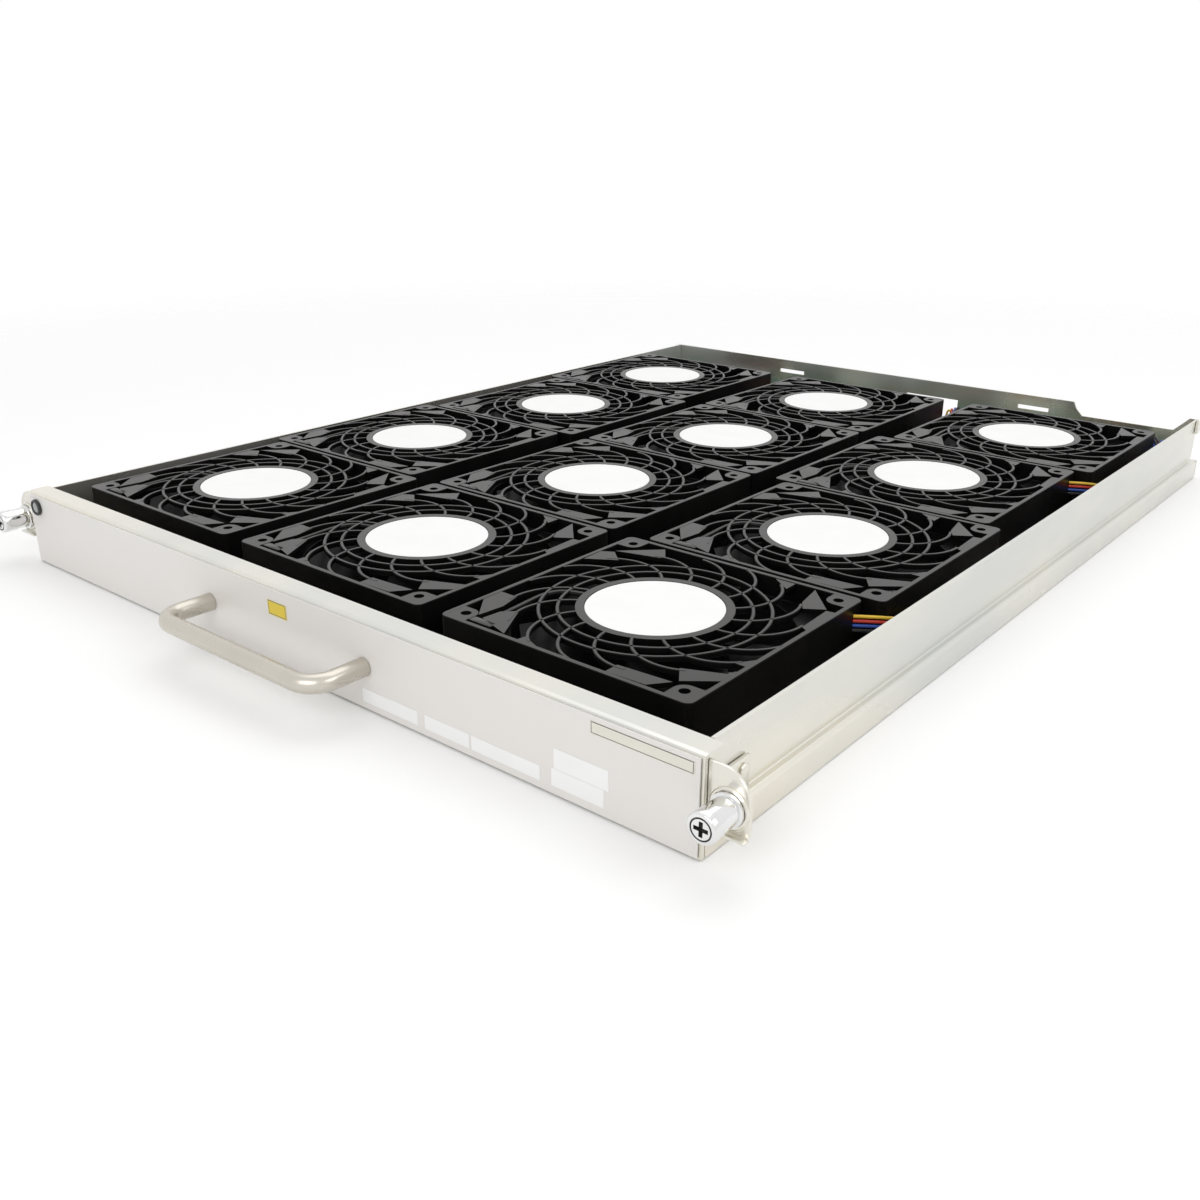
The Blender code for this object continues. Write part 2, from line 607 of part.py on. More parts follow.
def build_fan_mesh(mat, cutter_mat):
    """Square frame round a duct, closed above by a guard of curved arms and rings."""
    half, cut = FAN / 2, FAN / 2 - FAN_CORNER
    outline = ((-cut, -half), (cut, -half), (half, -cut), (half, cut),
               (cut, half), (-cut, half), (-half, cut), (-half, -cut))
    shape = bmesh.new()
    arms = [arm_stations(shape, arm) for arm in range(GUARD_ARMS)]
    lower = [shape.verts.new((x, y, 0)) for x, y in outline]
    upper = [shape.verts.new((x, y, FAN_DEPTH)) for x, y in outline]
    for index in range(len(outline)):
        shape.faces.new((lower[index - 1], lower[index], upper[index], upper[index - 1]))
    mouth = [shape.verts.new((*arm[-1][2].co.xy, 0)) for arm in arms]
    for index, arm in enumerate(arms):
        following = (index + 1) % GUARD_ARMS
        add_arm(shape, arm)
        for here, there in zip(arm[1:-1], arms[following][1:-1]):
            add_ring_piece(shape, here, there)
        for here, there in ((arm[0], arms[following][0]), (arm[-1], arms[following][-1])):
            shape.faces.new((here[0][1], there[0][0], there[2], here[2]))
        shape.faces.new((arm[-1][2], arms[following][-1][2], mouth[following], mouth[index]))
    shape.faces.new([corner for arm in arms for corner in arm[0][0]])
    shape.faces.new([arm[0][2] for arm in arms])
    rim = [corner for arm in arms for corner in arm[-1][0]]
    bmesh.ops.triangle_fill(shape, use_beauty=True, edges=add_loop(shape, upper) + add_loop(shape, rim))
    bmesh.ops.triangle_fill(shape, use_beauty=True, edges=add_loop(shape, lower) + add_loop(shape, mouth))
    frame = add_object("fan_frame_pattern", shape, mat)
    bore = bmesh.new()
    seat = FAN_DEPTH - GUARD_T
    add_rod(bore, (SHAFT_R + SHAFT_CLEARANCE) / math.cos(math.pi / 6), seat - GUARD_T,
            seat + SHAFT_L + SHAFT_CLEARANCE - ROTOR_DROP, "Z", 6)
    cutter = add_object("shaft_bore", bore, cutter_mat)
    boolean(frame, cutter)
    mesh = settled_mesh(frame)
    for used in (frame, cutter):
        bpy.data.objects.remove(used)
    return mesh


def build_rotor_mesh(mat, cutter_mat):
    """Hub with twisted blades, and the end of its shaft standing up into the guard's disc; its top is z 0."""
    shape = bmesh.new()
    add_rod(shape, ROTOR_R, -ROTOR_H, 0.0, "Z", 10)
    rotor = add_object("rotor_pattern", shape, mat)
    extra = bmesh.new()
    add_rod(extra, SHAFT_R, -SHAFT_L, SHAFT_L, "Z", 6)
    tip = DUCT_R * math.cos(math.pi / GUARD_ARMS) - BLADE_TIP_GAP
    for blade in range(BLADES):
        add_blade(extra, math.tau * blade / BLADES, ROTOR_R - BLADE_ROOT, tip)
    blades = add_object("blade_shapes", extra, cutter_mat)
    boolean(rotor, blades, "UNION")
    mesh = settled_mesh(rotor)
    for used in (rotor, blades):
        bpy.data.objects.remove(used)
    return mesh


def add_blade(shape, start, root, tip):
    """A twisted plate: its lower edge trails its upper edge, its tip leads its root."""
    corners = []
    for radius, lean in ((root, 0.0), (tip, math.radians(BLADE_LEAN))):
        for share in (0.0, 1.0):
            angle = start + lean + math.radians(BLADE_SWEEP) * share
            z = -BLADE_TOP - (ROTOR_H - BLADE_TOP - BLADE_FOOT) * share
            x, y = radius * math.cos(angle), radius * math.sin(angle)
            corners += [shape.verts.new((x, y, z)), shape.verts.new((x, y, z - BLADE_T))]
    a, b, c, d, e, f, g, h = corners
    for ring in ((a, b, d, c), (e, g, h, f), (a, c, g, e), (b, f, h, d), (a, e, f, b), (c, d, h, g)):
        shape.faces.new(ring)


def build_fans(frame_mat, rotor_mat, cutter_mat):
    frame_mesh = build_fan_mesh(frame_mat, cutter_mat)
    rotor_mesh = build_rotor_mesh(rotor_mat, cutter_mat)
    rotor_top = FAN_Z + FAN_DEPTH - GUARD_T - ROTOR_DROP
    for row, column, x, y in fan_places():
        tag = f"r{row + 1}c{column + 1}"
        place_mesh("fan_frame_" + tag, frame_mesh, location=(x, y, FAN_Z))
        place_mesh("rotor_" + tag, rotor_mesh, location=(x, y, rotor_top))


def header_places():
    """Middles of the four-way headers, from right to left."""
    for middle, count in HEADER_GROUPS:
        for index in range(count):
            yield middle + HEADER_PITCH * ((count - 1) / 2 - index)


def build_board(board_mat, plug_mat, choke_mat, cutter_mat):
    """Control board with its soldered headers, power modules and capacitors, the plugs, and a choke."""
    edge = WALL_IN - BOARD_SIDE_GAP
    rear = REAR_IN - BOARD_EDGE_GAP
    root = BOARD_Z + BOARD_T / 2
    shape = bmesh.new()
    add_box(shape, (-edge, BOARD_FRONT, BOARD_Z), (edge, rear, BOARD_TOP))
    board = add_object("control_board", shape, board_mat)
    soldered = bmesh.new()
    places = [(x, HEADER_W) for x in header_places()] + [(PAIR_HEADER_X, PAIR_HEADER_W)]
    front, back = HEADER_MID_Y - HEADER_DEPTH / 2, HEADER_MID_Y + HEADER_DEPTH / 2
    base = BOARD_TOP + HEADER_BASE
    for x, width in places:
        side = [(0, front, root), (0, front, base), (0, back - HEADER_WALL_T, base),
                (0, back - HEADER_WALL_T, BOARD_TOP + HEADER_WALL_H), (0, back, BOARD_TOP + HEADER_WALL_H),
                (0, back, root)]
        add_prism(soldered, side, (x - width / 2, 0, 0), (width, 0, 0))
    near = back + MODULE_GAP
    for x in MODULE_X:
        middle, far = near + MODULE_L, near + MODULE_L + MODULE_TAB_L
        side = [(0, near, root), (0, near, BOARD_TOP + MODULE_H), (0, middle, BOARD_TOP + MODULE_H),
                (0, middle, BOARD_TOP + MODULE_TAB_T), (0, far, BOARD_TOP + MODULE_TAB_T), (0, far, root)]
        add_prism(soldered, side, (x - MODULE_W / 2, 0, 0), (MODULE_W, 0, 0))
    for x in CAP_X:
        add_rod(soldered, CAP_R, root, BOARD_TOP + CAP_H, "Z", 10, (x, rear - CAP_INSET))
    boolean(board, add_object("soldered_parts", soldered, cutter_mat), "UNION")
    names = [f"fan_plug_{index + 1:02d}" for index in range(len(places) - 1)] + ["lamp_plug"]
    for name, (x, width) in zip(names, places):
        shape = bmesh.new()
        half = width / 2 - SEAT / 2
        add_box(shape, (x - half, front, base + SEAT),
                (x + half, back - HEADER_WALL_T - SEAT, base + SEAT + PLUG_H))
        add_object(name, shape, plug_mat)
    shape = bmesh.new()
    low = BOARD_TOP + SEAT
    add_rod(shape, CHOKE_R, low, low + CHOKE_H, "Z", 12, (CHOKE_X, HEADER_MID_Y + CHOKE_R / 2))
    smooth(add_object("choke", shape, choke_mat))


def build_socket(mat, cutter_mat):
    """Shrouded connector on the board, facing out through the rear panel."""
    low = BOARD_TOP + SEAT
    face = REAR_OUT
    shape = bmesh.new()
    add_box(shape, (SOCKET_X - SOCKET_W / 2, face - SOCKET_L, low),
            (SOCKET_X + SOCKET_W / 2, face, low + SOCKET_H))
    body = add_object("backplane_connector", shape, mat)
    hollow = bmesh.new()
    add_box(hollow, (SOCKET_X - SOCKET_W / 2 + SOCKET_WALL, face - SOCKET_DEPTH, low + SOCKET_WALL),
            (SOCKET_X + SOCKET_W / 2 - SOCKET_WALL, face + SHEET, low + SOCKET_H - SOCKET_WALL))
    boolean(body, add_object("socket_hollow", hollow, cutter_mat))


def smooth_route(points, per_span=2):
    """Points along a smooth curve through the route's own points."""
    spots = [Vector(point) for point in points]
    runs = [after - before for before, after in zip(spots, spots[1:])]
    slopes = [runs[0]]
    for before, after in zip(runs, runs[1:]):
        slopes.append((before.normalized() + after.normalized()) / 2 * min(before.length, after.length))
    slopes.append(runs[-1])
    route = []
    for index, run in enumerate(runs):
        for step in range(per_span):
            t = step / per_span
            route.append(spots[index] + run * (3 * t ** 2 - 2 * t ** 3)
                         + slopes[index] * (t - 2 * t ** 2 + t ** 3) + slopes[index + 1] * (t ** 3 - t ** 2))
    route.append(spots[-1])
    return route


def loom_routes():
    """Wire looms: along the gaps between fan columns, then up and over to the plugs they end in."""
    end = BOARD_TOP + HEADER_BASE + SEAT + PLUG_H + SEAT
    front = FAN_FRONT + LOOM_START
    side, middle = WALL_IN - SIDE_GAP / 2, COLUMN_PITCH[0] / 2
    plug_y = HEADER_MID_Y - HEADER_WALL_T / 2
    places = (("wire_loom_right", side, HEADER_GROUPS[0][0], LOOM_R[0]),
              ("wire_loom_middle_right", middle, HEADER_GROUPS[2][0], LOOM_R[1]),
              ("wire_loom_middle_left", -middle, HEADER_GROUPS[3][0], LOOM_R[2]),
              ("wire_loom_left", -side, PAIR_HEADER_X, LOOM_R[3]))
    for name, gap_x, plug_x, radius in places:
        low = FLOOR_TOP + LOOM_LIFT + radius
        high = end + LOOM_ARCH + radius
        out = FAN_REAR + radius + LOOM_CLEARANCE
        across = plug_x - gap_x
        turn = math.copysign(min(abs(across) / 4, LOOM_TURN), across)
        yield name, radius, ((gap_x, front, low), (gap_x, 0, low), (gap_x, FAN_REAR - LOOM_RISE * 2, low),
                             (gap_x, FAN_REAR - LOOM_RISE, (low + high) / 2), (gap_x, FAN_REAR, high),
                             (gap_x, out, high), (gap_x + turn, max(out, plug_y), high),
                             (gap_x + across * 0.5, max(out, plug_y), high),
                             (plug_x, plug_y, end + LOOM_ARCH), (plug_x, plug_y, end + LOOM_ARCH / 2),
                             (plug_x, plug_y, end))


def build_looms(mat):
    for name, radius, points in loom_routes():
        curve = bpy.data.curves.new(name, "CURVE")
        curve.dimensions = "3D"
        curve.bevel_depth = radius
        curve.bevel_resolution = 1
        curve.use_fill_caps = True
        curve.materials.append(mat)
        line = curve.splines.new("POLY")
        route = smooth_route(points)
        line.points.add(len(route) - 1)
        for point, spot in zip(line.points, route):
            point.co = (*spot, 1.0)
        place_mesh(name, curve)


def main():
    for old in list(bpy.data.objects):
        bpy.data.objects.remove(old)
    steel = material("zinc_plated_steel", (0.62, 0.61, 0.57), 0.36, 0.85)
    facing = material("front_overlay_film", (0.78, 0.77, 0.74), 0.5)
    nickel = material("satin_nickel", (0.60, 0.57, 0.51), 0.32, 0.9)
    chrome = material("polished_chrome", (0.80, 0.80, 0.80), 0.12, 1.0)
    screw = material("screw_steel", (0.55, 0.55, 0.55), 0.35, 0.9)
    black = material("black_fan_plastic", (0.035, 0.034, 0.033), 0.55)
    blade = material("black_rotor_plastic", (0.028, 0.028, 0.028), 0.5)
    green = material("green_board", (0.03, 0.30, 0.14), 0.45)
    white = material("white_nylon", (0.78, 0.77, 0.72), 0.5)
    dark = material("black_moulding", (0.03, 0.03, 0.03), 0.5)
    wire = material("loom_sleeving", (0.05, 0.05, 0.06), 0.6)
    guide = material("cutting_shape", (0.8, 0.2, 0.2), 0.5)
    build_floor(steel, guide)
    build_rails(steel, guide)
    build_front_panel(steel, facing, guide)
    build_handle(nickel, screw, guide)
    build_ears(steel, guide)
    build_captive_screws(chrome, screw)
    build_lamp(dark)
    build_rear_panel(steel, guide)
    build_fans(black, blade, guide)
    build_board(green, white, dark, guide)
    build_socket(dark, guide)
    build_looms(wire)


main()
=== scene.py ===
"""Looks of a pull-out fan tray: twelve guarded fans in a stepped steel tray, seen from the front right."""
import json
import math

import bmesh
import bpy
from bpy.props import FloatProperty, FloatVectorProperty, IntProperty, PointerProperty
from mathutils import Matrix, Vector

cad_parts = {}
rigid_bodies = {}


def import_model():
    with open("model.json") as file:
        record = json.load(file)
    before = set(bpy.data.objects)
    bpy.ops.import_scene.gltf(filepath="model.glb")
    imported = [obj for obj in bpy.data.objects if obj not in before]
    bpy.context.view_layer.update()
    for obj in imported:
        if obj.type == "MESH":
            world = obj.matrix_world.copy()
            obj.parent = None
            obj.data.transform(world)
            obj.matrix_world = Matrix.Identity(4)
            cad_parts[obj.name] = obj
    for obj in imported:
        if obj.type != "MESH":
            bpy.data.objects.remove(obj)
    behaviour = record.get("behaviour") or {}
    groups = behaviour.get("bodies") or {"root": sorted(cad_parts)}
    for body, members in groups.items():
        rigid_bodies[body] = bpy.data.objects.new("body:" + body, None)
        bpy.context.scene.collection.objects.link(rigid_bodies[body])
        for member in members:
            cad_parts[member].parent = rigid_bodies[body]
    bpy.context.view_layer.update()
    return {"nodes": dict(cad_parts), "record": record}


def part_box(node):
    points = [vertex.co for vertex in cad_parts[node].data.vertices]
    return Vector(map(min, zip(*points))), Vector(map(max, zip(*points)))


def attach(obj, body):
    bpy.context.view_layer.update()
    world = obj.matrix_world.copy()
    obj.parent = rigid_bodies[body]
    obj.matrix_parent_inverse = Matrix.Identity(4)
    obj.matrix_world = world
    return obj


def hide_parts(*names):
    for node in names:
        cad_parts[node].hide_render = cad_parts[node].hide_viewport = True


bl_info = {
    "name": "Fan Tray Dressing",
    "version": (1, 0, 0),
    "blender": (4, 5, 0),
    "location": "View3D > Sidebar > Fan Tray",
    "description": "Models and finishes the pieces of a chassis fan tray round its fixed frame",
    "category": "Object",
}

for start_object in list(bpy.data.objects):
    bpy.data.objects.remove(start_object)
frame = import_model()
MM = 0.001
TRAY = "tray"
FAN_TAGS = [f"r{row}c{column}" for row in range(1, 5) for column in range(1, 4)]
SIDES = (("left", -1), ("right", 1))
SHEET = 1.5 * MM


# Sizes and colours that a user would change


class GuardSizes(bpy.types.PropertyGroup):
    """Sizes of the moulded guard over each fan"""
    arms: IntProperty(name="Arms", description="Curved arms round the guard", default=17, min=3)
    rib_width: FloatProperty(name="Rib width", description="Width of an arm or ring", default=0.0015,
                             unit="LENGTH")
    rib_depth: FloatProperty(name="Rib depth", description="Height of an arm or ring", default=0.0024,
                             unit="LENGTH")
    disc_radius: FloatProperty(name="Disc", description="Radius of the middle disc", default=0.0317,
                               unit="LENGTH")
    first_ring: FloatProperty(name="First ring", description="Radius of the inner ring", default=0.0387,
                              unit="LENGTH")
    second_ring: FloatProperty(name="Second ring", description="Radius of the outer ring", default=0.0462,
                               unit="LENGTH")
    label_radius: FloatProperty(name="Label", description="Radius of the round label", default=0.0280,
                                unit="LENGTH")
    rim: FloatProperty(name="Rim", description="Width of the square rim", default=0.0024, unit="LENGTH")
    hole_spacing: FloatProperty(name="Hole spacing", description="Between the screw holes along a side",
                                default=0.105, unit="LENGTH")
    hole_radius: FloatProperty(name="Hole", description="Radius of a screw hole", default=0.00215,
                               unit="LENGTH")


class TrayColours(bpy.types.PropertyGroup):
    """Main colours of the tray"""
    steel: FloatVectorProperty(name="Steel", description="Zinc plated sheet", subtype="COLOR", size=3,
                               default=(0.81, 0.775, 0.685), min=0, max=1)
    facing: FloatVectorProperty(name="Facing", description="Front facing", subtype="COLOR", size=3,
                                default=(0.80, 0.775, 0.745), min=0, max=1)
    nickel: FloatVectorProperty(name="Nickel", description="Satin grip", subtype="COLOR", size=3,
                                default=(0.60, 0.565, 0.50), min=0, max=1)
    plastic: FloatVectorProperty(name="Plastic", description="Fan mouldings", subtype="COLOR", size=3,
                                 default=(0.007, 0.0066, 0.0064), min=0, max=1)
    board: FloatVectorProperty(name="Board", description="Solder resist", subtype="COLOR", size=3,
                               default=(0.010, 0.23, 0.10), min=0, max=1)


class StageSettings(bpy.types.PropertyGroup):
    """Light and camera"""
    key_power: FloatProperty(name="Key", description="Power of the large overhead lamp", default=4.5,
                             unit="POWER")
    fill_power: FloatProperty(name="Fill", description="Power of the front lamp", default=7.0, unit="POWER")
    side_power: FloatProperty(name="Side", description="Power of the right-hand lamp", default=3.5,
                              unit="POWER")
    front_light: FloatProperty(name="Front", description="Soft light from in front", default=0.40)
    back_light: FloatProperty(name="Back", description="Soft light from behind", default=0.95)
    camera_place: FloatVectorProperty(name="Camera", description="Place of the camera", subtype="XYZ",
                                      unit="LENGTH", size=3, default=(0.3889, -0.5259, 0.2183))
    camera_azimuth: FloatProperty(name="Azimuth", description="Turn of the camera, degrees", default=39.03)
    camera_height: FloatProperty(name="Elevation", description="Slope of the camera, degrees", default=22.33)
    camera_roll: FloatProperty(name="Roll", description="Roll of the camera, degrees", default=0.39)
    lens: FloatProperty(name="Lens", description="Focal length", default=35.19, unit="CAMERA")
    shift: FloatProperty(name="Shift", description="Sideways shift of the view", default=-0.0115)


# Modelling helpers


def clear_selection():
    if bpy.context.mode != "OBJECT":
        bpy.ops.object.mode_set(mode="OBJECT")
    bpy.ops.object.select_all(action="DESELECT")


def make_active(piece):
    clear_selection()
    piece.select_set(True)
    bpy.context.view_layer.objects.active = piece


def settle(piece):
    """Work the object's place, turn and scale into its mesh."""
    make_active(piece)
    bpy.ops.object.transform_apply(location=True, rotation=True, scale=True)
    return piece


def named(name):
    made = bpy.context.active_object
    made.name = name
    made.data.name = name
    return settle(made)


def edit_all():
    """Edit the active piece with all of it selected."""
    bpy.ops.object.mode_set(mode="EDIT")
    bpy.ops.mesh.select_all(action="SELECT")


def close_mesh():
    """Turn every face of the piece being edited outward, and stop editing it."""
    bpy.ops.mesh.select_all(action="SELECT")
    bpy.ops.mesh.normals_make_consistent(inside=False)
    bpy.ops.object.mode_set(mode="OBJECT")


def draw_out(way):
    bpy.ops.mesh.extrude_region_move(TRANSFORM_OT_translate={"value": way})


def add_block(name, low, high):
    clear_selection()
    low, high = Vector(low), Vector(high)
    bpy.ops.mesh.primitive_cube_add(size=1, location=(low + high) / 2, scale=high - low)
    return named(name)


def add_upright(name, width, height, place, rotation):
    """A flat rectangle; its width and height run along the plane's own X and Y before it is turned."""
    clear_selection()
    bpy.ops.mesh.primitive_plane_add(size=1, location=place, rotation=rotation)
    bpy.context.active_object.scale = (width, height, 1)
    return named(name)


def add_bar(name, radius, low, high, axis="Z", across=(0.0, 0.0), sides=32):
    """A round bar along an axis between two heights."""
    clear_selection()
    middle = (low + high) / 2
    turn, place = {"X": ((0, math.pi / 2, 0), (middle, *across)),
                   "Y": ((math.pi / 2, 0, 0), (across[0], middle, across[1])),
                   "Z": ((0, 0, 0), (*across, middle))}[axis]
    bpy.ops.mesh.primitive_cylinder_add(vertices=sides, radius=radius, depth=high - low, location=place,
                                        rotation=turn)
    return named(name)


def add_turned(name, profile, place, sides=48):
    """A turned piece along Y: a disc drawn out through each (radius, y) of its profile."""
    clear_selection()
    radius, start = profile[0]
    bpy.ops.mesh.primitive_circle_add(vertices=sides, radius=radius, fill_type="NGON",
                                      location=(place[0], start, place[1]), rotation=(math.pi / 2, 0, 0))
    made = named(name)
    edit_all()
    for following, y in profile[1:]:
        draw_out((0, y - start, 0))
        share = following / radius
        bpy.ops.transform.resize(value=(share, 1, share), center_override=(place[0], y, place[1]))
        radius, start = following, y
    close_mesh()
    return made


def add_plate(name, outline, thickness):
    """A flat plate from an outline of points in space, drawn out along a direction."""
    clear_selection()
    bpy.ops.mesh.primitive_circle_add(vertices=len(outline), radius=1, fill_type="NGON")
    made = named(name)
    for corner, spot in zip(made.data.vertices, outline):
        corner.co = spot
    edit_all()
    draw_out(thickness)
    close_mesh()
    return made


def pick(kind, test):
    """In edit mode, select the faces or edges whose middle and direction pass a test."""
    bpy.ops.mesh.select_mode(type=kind)
    bpy.ops.mesh.select_all(action="DESELECT")
    mesh = bmesh.from_edit_mesh(bpy.context.active_object.data)
    if kind == "FACE":
        chosen = [face for face in mesh.faces if test(face.calc_center_median(), face.normal)]
    else:
        chosen = [edge for edge in mesh.edges
                  if test((edge.verts[0].co + edge.verts[1].co) / 2, edge.verts[1].co - edge.verts[0].co)]
    for item in chosen:
        item.select_set(True)
    bmesh.update_edit_mesh(bpy.context.active_object.data)


def work_in(piece, modifier):
    make_active(piece)
    bpy.ops.object.modifier_apply(modifier=modifier.name)


def cut(piece, tool, operation="DIFFERENCE", self_crossing=False):
    change = piece.modifiers.new("Cut", "BOOLEAN")
    change.operation = operation
    change.solver = "EXACT"
    change.use_self = self_crossing
    change.object = tool
    work_in(piece, change)
    bpy.data.objects.remove(tool)


def soften(piece, width, segments=2, angle=40.0):
    change = piece.modifiers.new("Soft edges", "BEVEL")
    change.width = width
    change.segments = segments
    change.limit_method = "ANGLE"
    change.angle_limit = math.radians(angle)
    work_in(piece, change)


def join(name, parts):
    clear_selection()
    for part in parts:
        part.select_set(True)
    bpy.context.view_layer.objects.active = parts[0]
    bpy.ops.object.join()
    return named(name)


def copy_to(pattern, name, place):
    """A copy of a pattern with a mesh of its own, set down at a place."""
    made = pattern.copy()
    made.data = pattern.data.copy()
    made.name = name
    made.data.name = name
    bpy.context.scene.collection.objects.link(made)
    made.data.transform(Matrix.Translation(place))
    return made


def dress(piece, material, body=TRAY, replaces=(), angle=35.0):
    """Give a finished piece its material, its shading and its body."""
    if material is not None:
        piece.data.materials.clear()
        piece.data.materials.append(material)
    if piece.type == "MESH":
        make_active(piece)
        bpy.ops.object.shade_smooth_by_angle(angle=math.radians(angle))
    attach(piece, body)
    if replaces:
        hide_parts(*replaces)
    clear_selection()
    return piece


def fan_centre(tag):
    low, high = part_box("fan_frame_" + tag)
    return Vector(((low.x + high.x) / 2, (low.y + high.y) / 2, low.z))


def across_of(node):
    """Middle of a solid across Y, as (x, z)."""
    low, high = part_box(node)
    return (low.x + high.x) / 2, (low.z + high.z) / 2


# Materials


# Values of the patch noise between which the colour, and the roughness, go from clean to worn
PATCH_RANGE = (0.36, 0.64)
ROUGH_RANGE = (0.3, 0.7)


def aged_surface():
    """Node group: two scales of noise that shade a colour and a roughness and give a fine grain."""
    found = bpy.data.node_groups.get("aged_surface")
    if found:
        return found
    group = bpy.data.node_groups.new("aged_surface", "ShaderNodeTree")
    face = group.interface
    for name, kind, value in (("Vector", "NodeSocketVector", None), ("Clean", "NodeSocketColor", None),
                              ("Worn", "NodeSocketColor", None), ("Patch Scale", "NodeSocketFloat", 12.0),
                              ("Grain Scale", "NodeSocketFloat", 900.0), ("Patches", "NodeSocketFloat", 0.5),
                              ("Smooth", "NodeSocketFloat", 0.3), ("Rough", "NodeSocketFloat", 0.5)):
        socket = face.new_socket(name, in_out="INPUT", socket_type=kind)
        if value is not None:
            socket.default_value = value
    for name, kind in (("Color", "NodeSocketColor"), ("Roughness", "NodeSocketFloat"),
                       ("Height", "NodeSocketFloat")):
        face.new_socket(name, in_out="OUTPUT", socket_type=kind)
    nodes, links = group.nodes, group.links
    start, end = nodes.new("NodeGroupInput"), nodes.new("NodeGroupOutput")
    patch, grain = nodes.new("ShaderNodeTexNoise"), nodes.new("ShaderNodeTexNoise")
    patch.inputs["Detail"].default_value = 5.0
    grain.inputs["Detail"].default_value = 3.0
    share = nodes.new("ShaderNodeMapRange")
    share.inputs["From Min"].default_value, share.inputs["From Max"].default_value = PATCH_RANGE
    mixed = nodes.new("ShaderNodeMix")
    mixed.data_type = "RGBA"
    spread = nodes.new("ShaderNodeMapRange")
    for texture, scale in ((patch, "Patch Scale"), (grain, "Grain Scale")):
        links.new(start.outputs["Vector"], texture.inputs["Vector"])
        links.new(start.outputs[scale], texture.inputs["Scale"])
    links.new(patch.outputs["Fac"], share.inputs["Value"])
    links.new(start.outputs["Patches"], share.inputs["To Max"])
    links.new(share.outputs["Result"], mixed.inputs["Factor"])
    links.new(start.outputs["Clean"], mixed.inputs["A"])
    links.new(start.outputs["Worn"], mixed.inputs["B"])
    links.new(patch.outputs["Fac"], spread.inputs["Value"])
    spread.inputs["From Min"].default_value, spread.inputs["From Max"].default_value = ROUGH_RANGE
    links.new(start.outputs["Smooth"], spread.inputs["To Min"])
    links.new(start.outputs["Rough"], spread.inputs["To Max"])
    links.new(mixed.outputs["Result"], end.inputs["Color"])
    links.new(spread.outputs["Result"], end.inputs["Roughness"])
    links.new(grain.outputs["Fac"], end.inputs["Height"])
    return group


def surface(name, clean, worn, smooth, rough, metallic=0.0, patches=0.5, patch_scale=14.0, grain_scale=900.0,
            bump=0.05, stretch=(1.0, 1.0, 1.0), coat=0.0, specular=0.5):
    """A Principled material fed by the aged surface group, named apart from the frame's own materials."""
    own_name = "aged_" + name
    found = bpy.data.materials.get(own_name)
    if found:
        return found
    made = bpy.data.materials.new(own_name)
    made.use_nodes = True
    nodes, links = made.node_tree.nodes, made.node_tree.links
    shader = nodes["Principled BSDF"]
    place, turn = nodes.new("ShaderNodeTexCoord"), nodes.new("ShaderNodeMapping")
    turn.inputs["Scale"].default_value = stretch
    aged = nodes.new("ShaderNodeGroup")
    aged.node_tree = aged_surface()
    relief = nodes.new("ShaderNodeBump")
    relief.inputs["Strength"].default_value = bump
    relief.inputs["Distance"].default_value = 0.0002
    for socket, value in (("Clean", (*clean, 1)), ("Worn", (*worn, 1)), ("Patch Scale", patch_scale),
                          ("Grain Scale", grain_scale), ("Patches", patches), ("Smooth", smooth),
                          ("Rough", rough)):
        aged.inputs[socket].default_value = value
    links.new(place.outputs["Object"], turn.inputs["Vector"])
    links.new(turn.outputs["Vector"], aged.inputs["Vector"])
    links.new(aged.outputs["Color"], shader.inputs["Base Color"])
    links.new(aged.outputs["Roughness"], shader.inputs["Roughness"])
    links.new(aged.outputs["Height"], relief.inputs["Height"])
    links.new(relief.outputs["Normal"], shader.inputs["Normal"])
    shader.inputs["Metallic"].default_value = metallic
    shader.inputs["Coat Weight"].default_value = coat
    shader.inputs["Specular IOR Level"].default_value = specular
    return made


def shade(colour, share):
    return tuple(channel * share for channel in colour)


def zinc_sheet():
    steel = bpy.context.scene.tray_colours.steel
    dull = (steel[0] * 0.80, steel[1] * 0.85, steel[2] * 0.94)
    return surface("zinc_sheet", steel, dull, 0.18, 0.38, metallic=0.84, patches=0.85,
                   patch_scale=16.0, grain_scale=600.0, bump=0.06, stretch=(1.0, 0.3, 1.0))


def front_facing():
    facing = bpy.context.scene.tray_colours.facing
    return surface("front_facing", facing, shade(facing, 0.95), 0.40, 0.5, metallic=0.08, patches=0.5,
                   patch_scale=6.0, grain_scale=1400.0, bump=0.04)


def satin_nickel():
    nickel = bpy.context.scene.tray_colours.nickel
    return surface("satin_nickel", nickel, shade(nickel, 0.92), 0.24, 0.34, metallic=0.95, patch_scale=40.0,
                   grain_scale=2200.0, bump=0.08)


def bright_chrome():
    return surface("bright_chrome", (0.80, 0.80, 0.80), (0.70, 0.70, 0.69), 0.06, 0.14, metallic=1.0,
                   patch_scale=90.0, grain_scale=1800.0, bump=0.02)


def screw_steel():
    return surface("screw_steel", (0.52, 0.52, 0.51), (0.40, 0.39, 0.38), 0.28, 0.42, metallic=0.95,
                   patch_scale=120.0, bump=0.05)


# Darker copy of the fan plastic, on the sides and in the pockets: with the paler copy on the tops it paints
# shade on the sides and light on the tops
def fan_plastic():
    plastic = bpy.context.scene.tray_colours.plastic
    return surface("fan_plastic", shade(plastic, 0.6), plastic, 0.26, 0.42, patches=0.6, patch_scale=30.0,
                   grain_scale=2600.0, bump=0.08, specular=0.12)


# Paler copy of the same plastic for the upward top faces: painted light from above, not a different moulding
def fan_tops():
    plastic = bpy.context.scene.tray_colours.plastic
    return surface("fan_tops", shade(plastic, 5.0), shade(plastic, 7.5), 0.26, 0.40, patches=0.8,
                   patch_scale=26.0, grain_scale=2600.0, bump=0.08, specular=0.3)


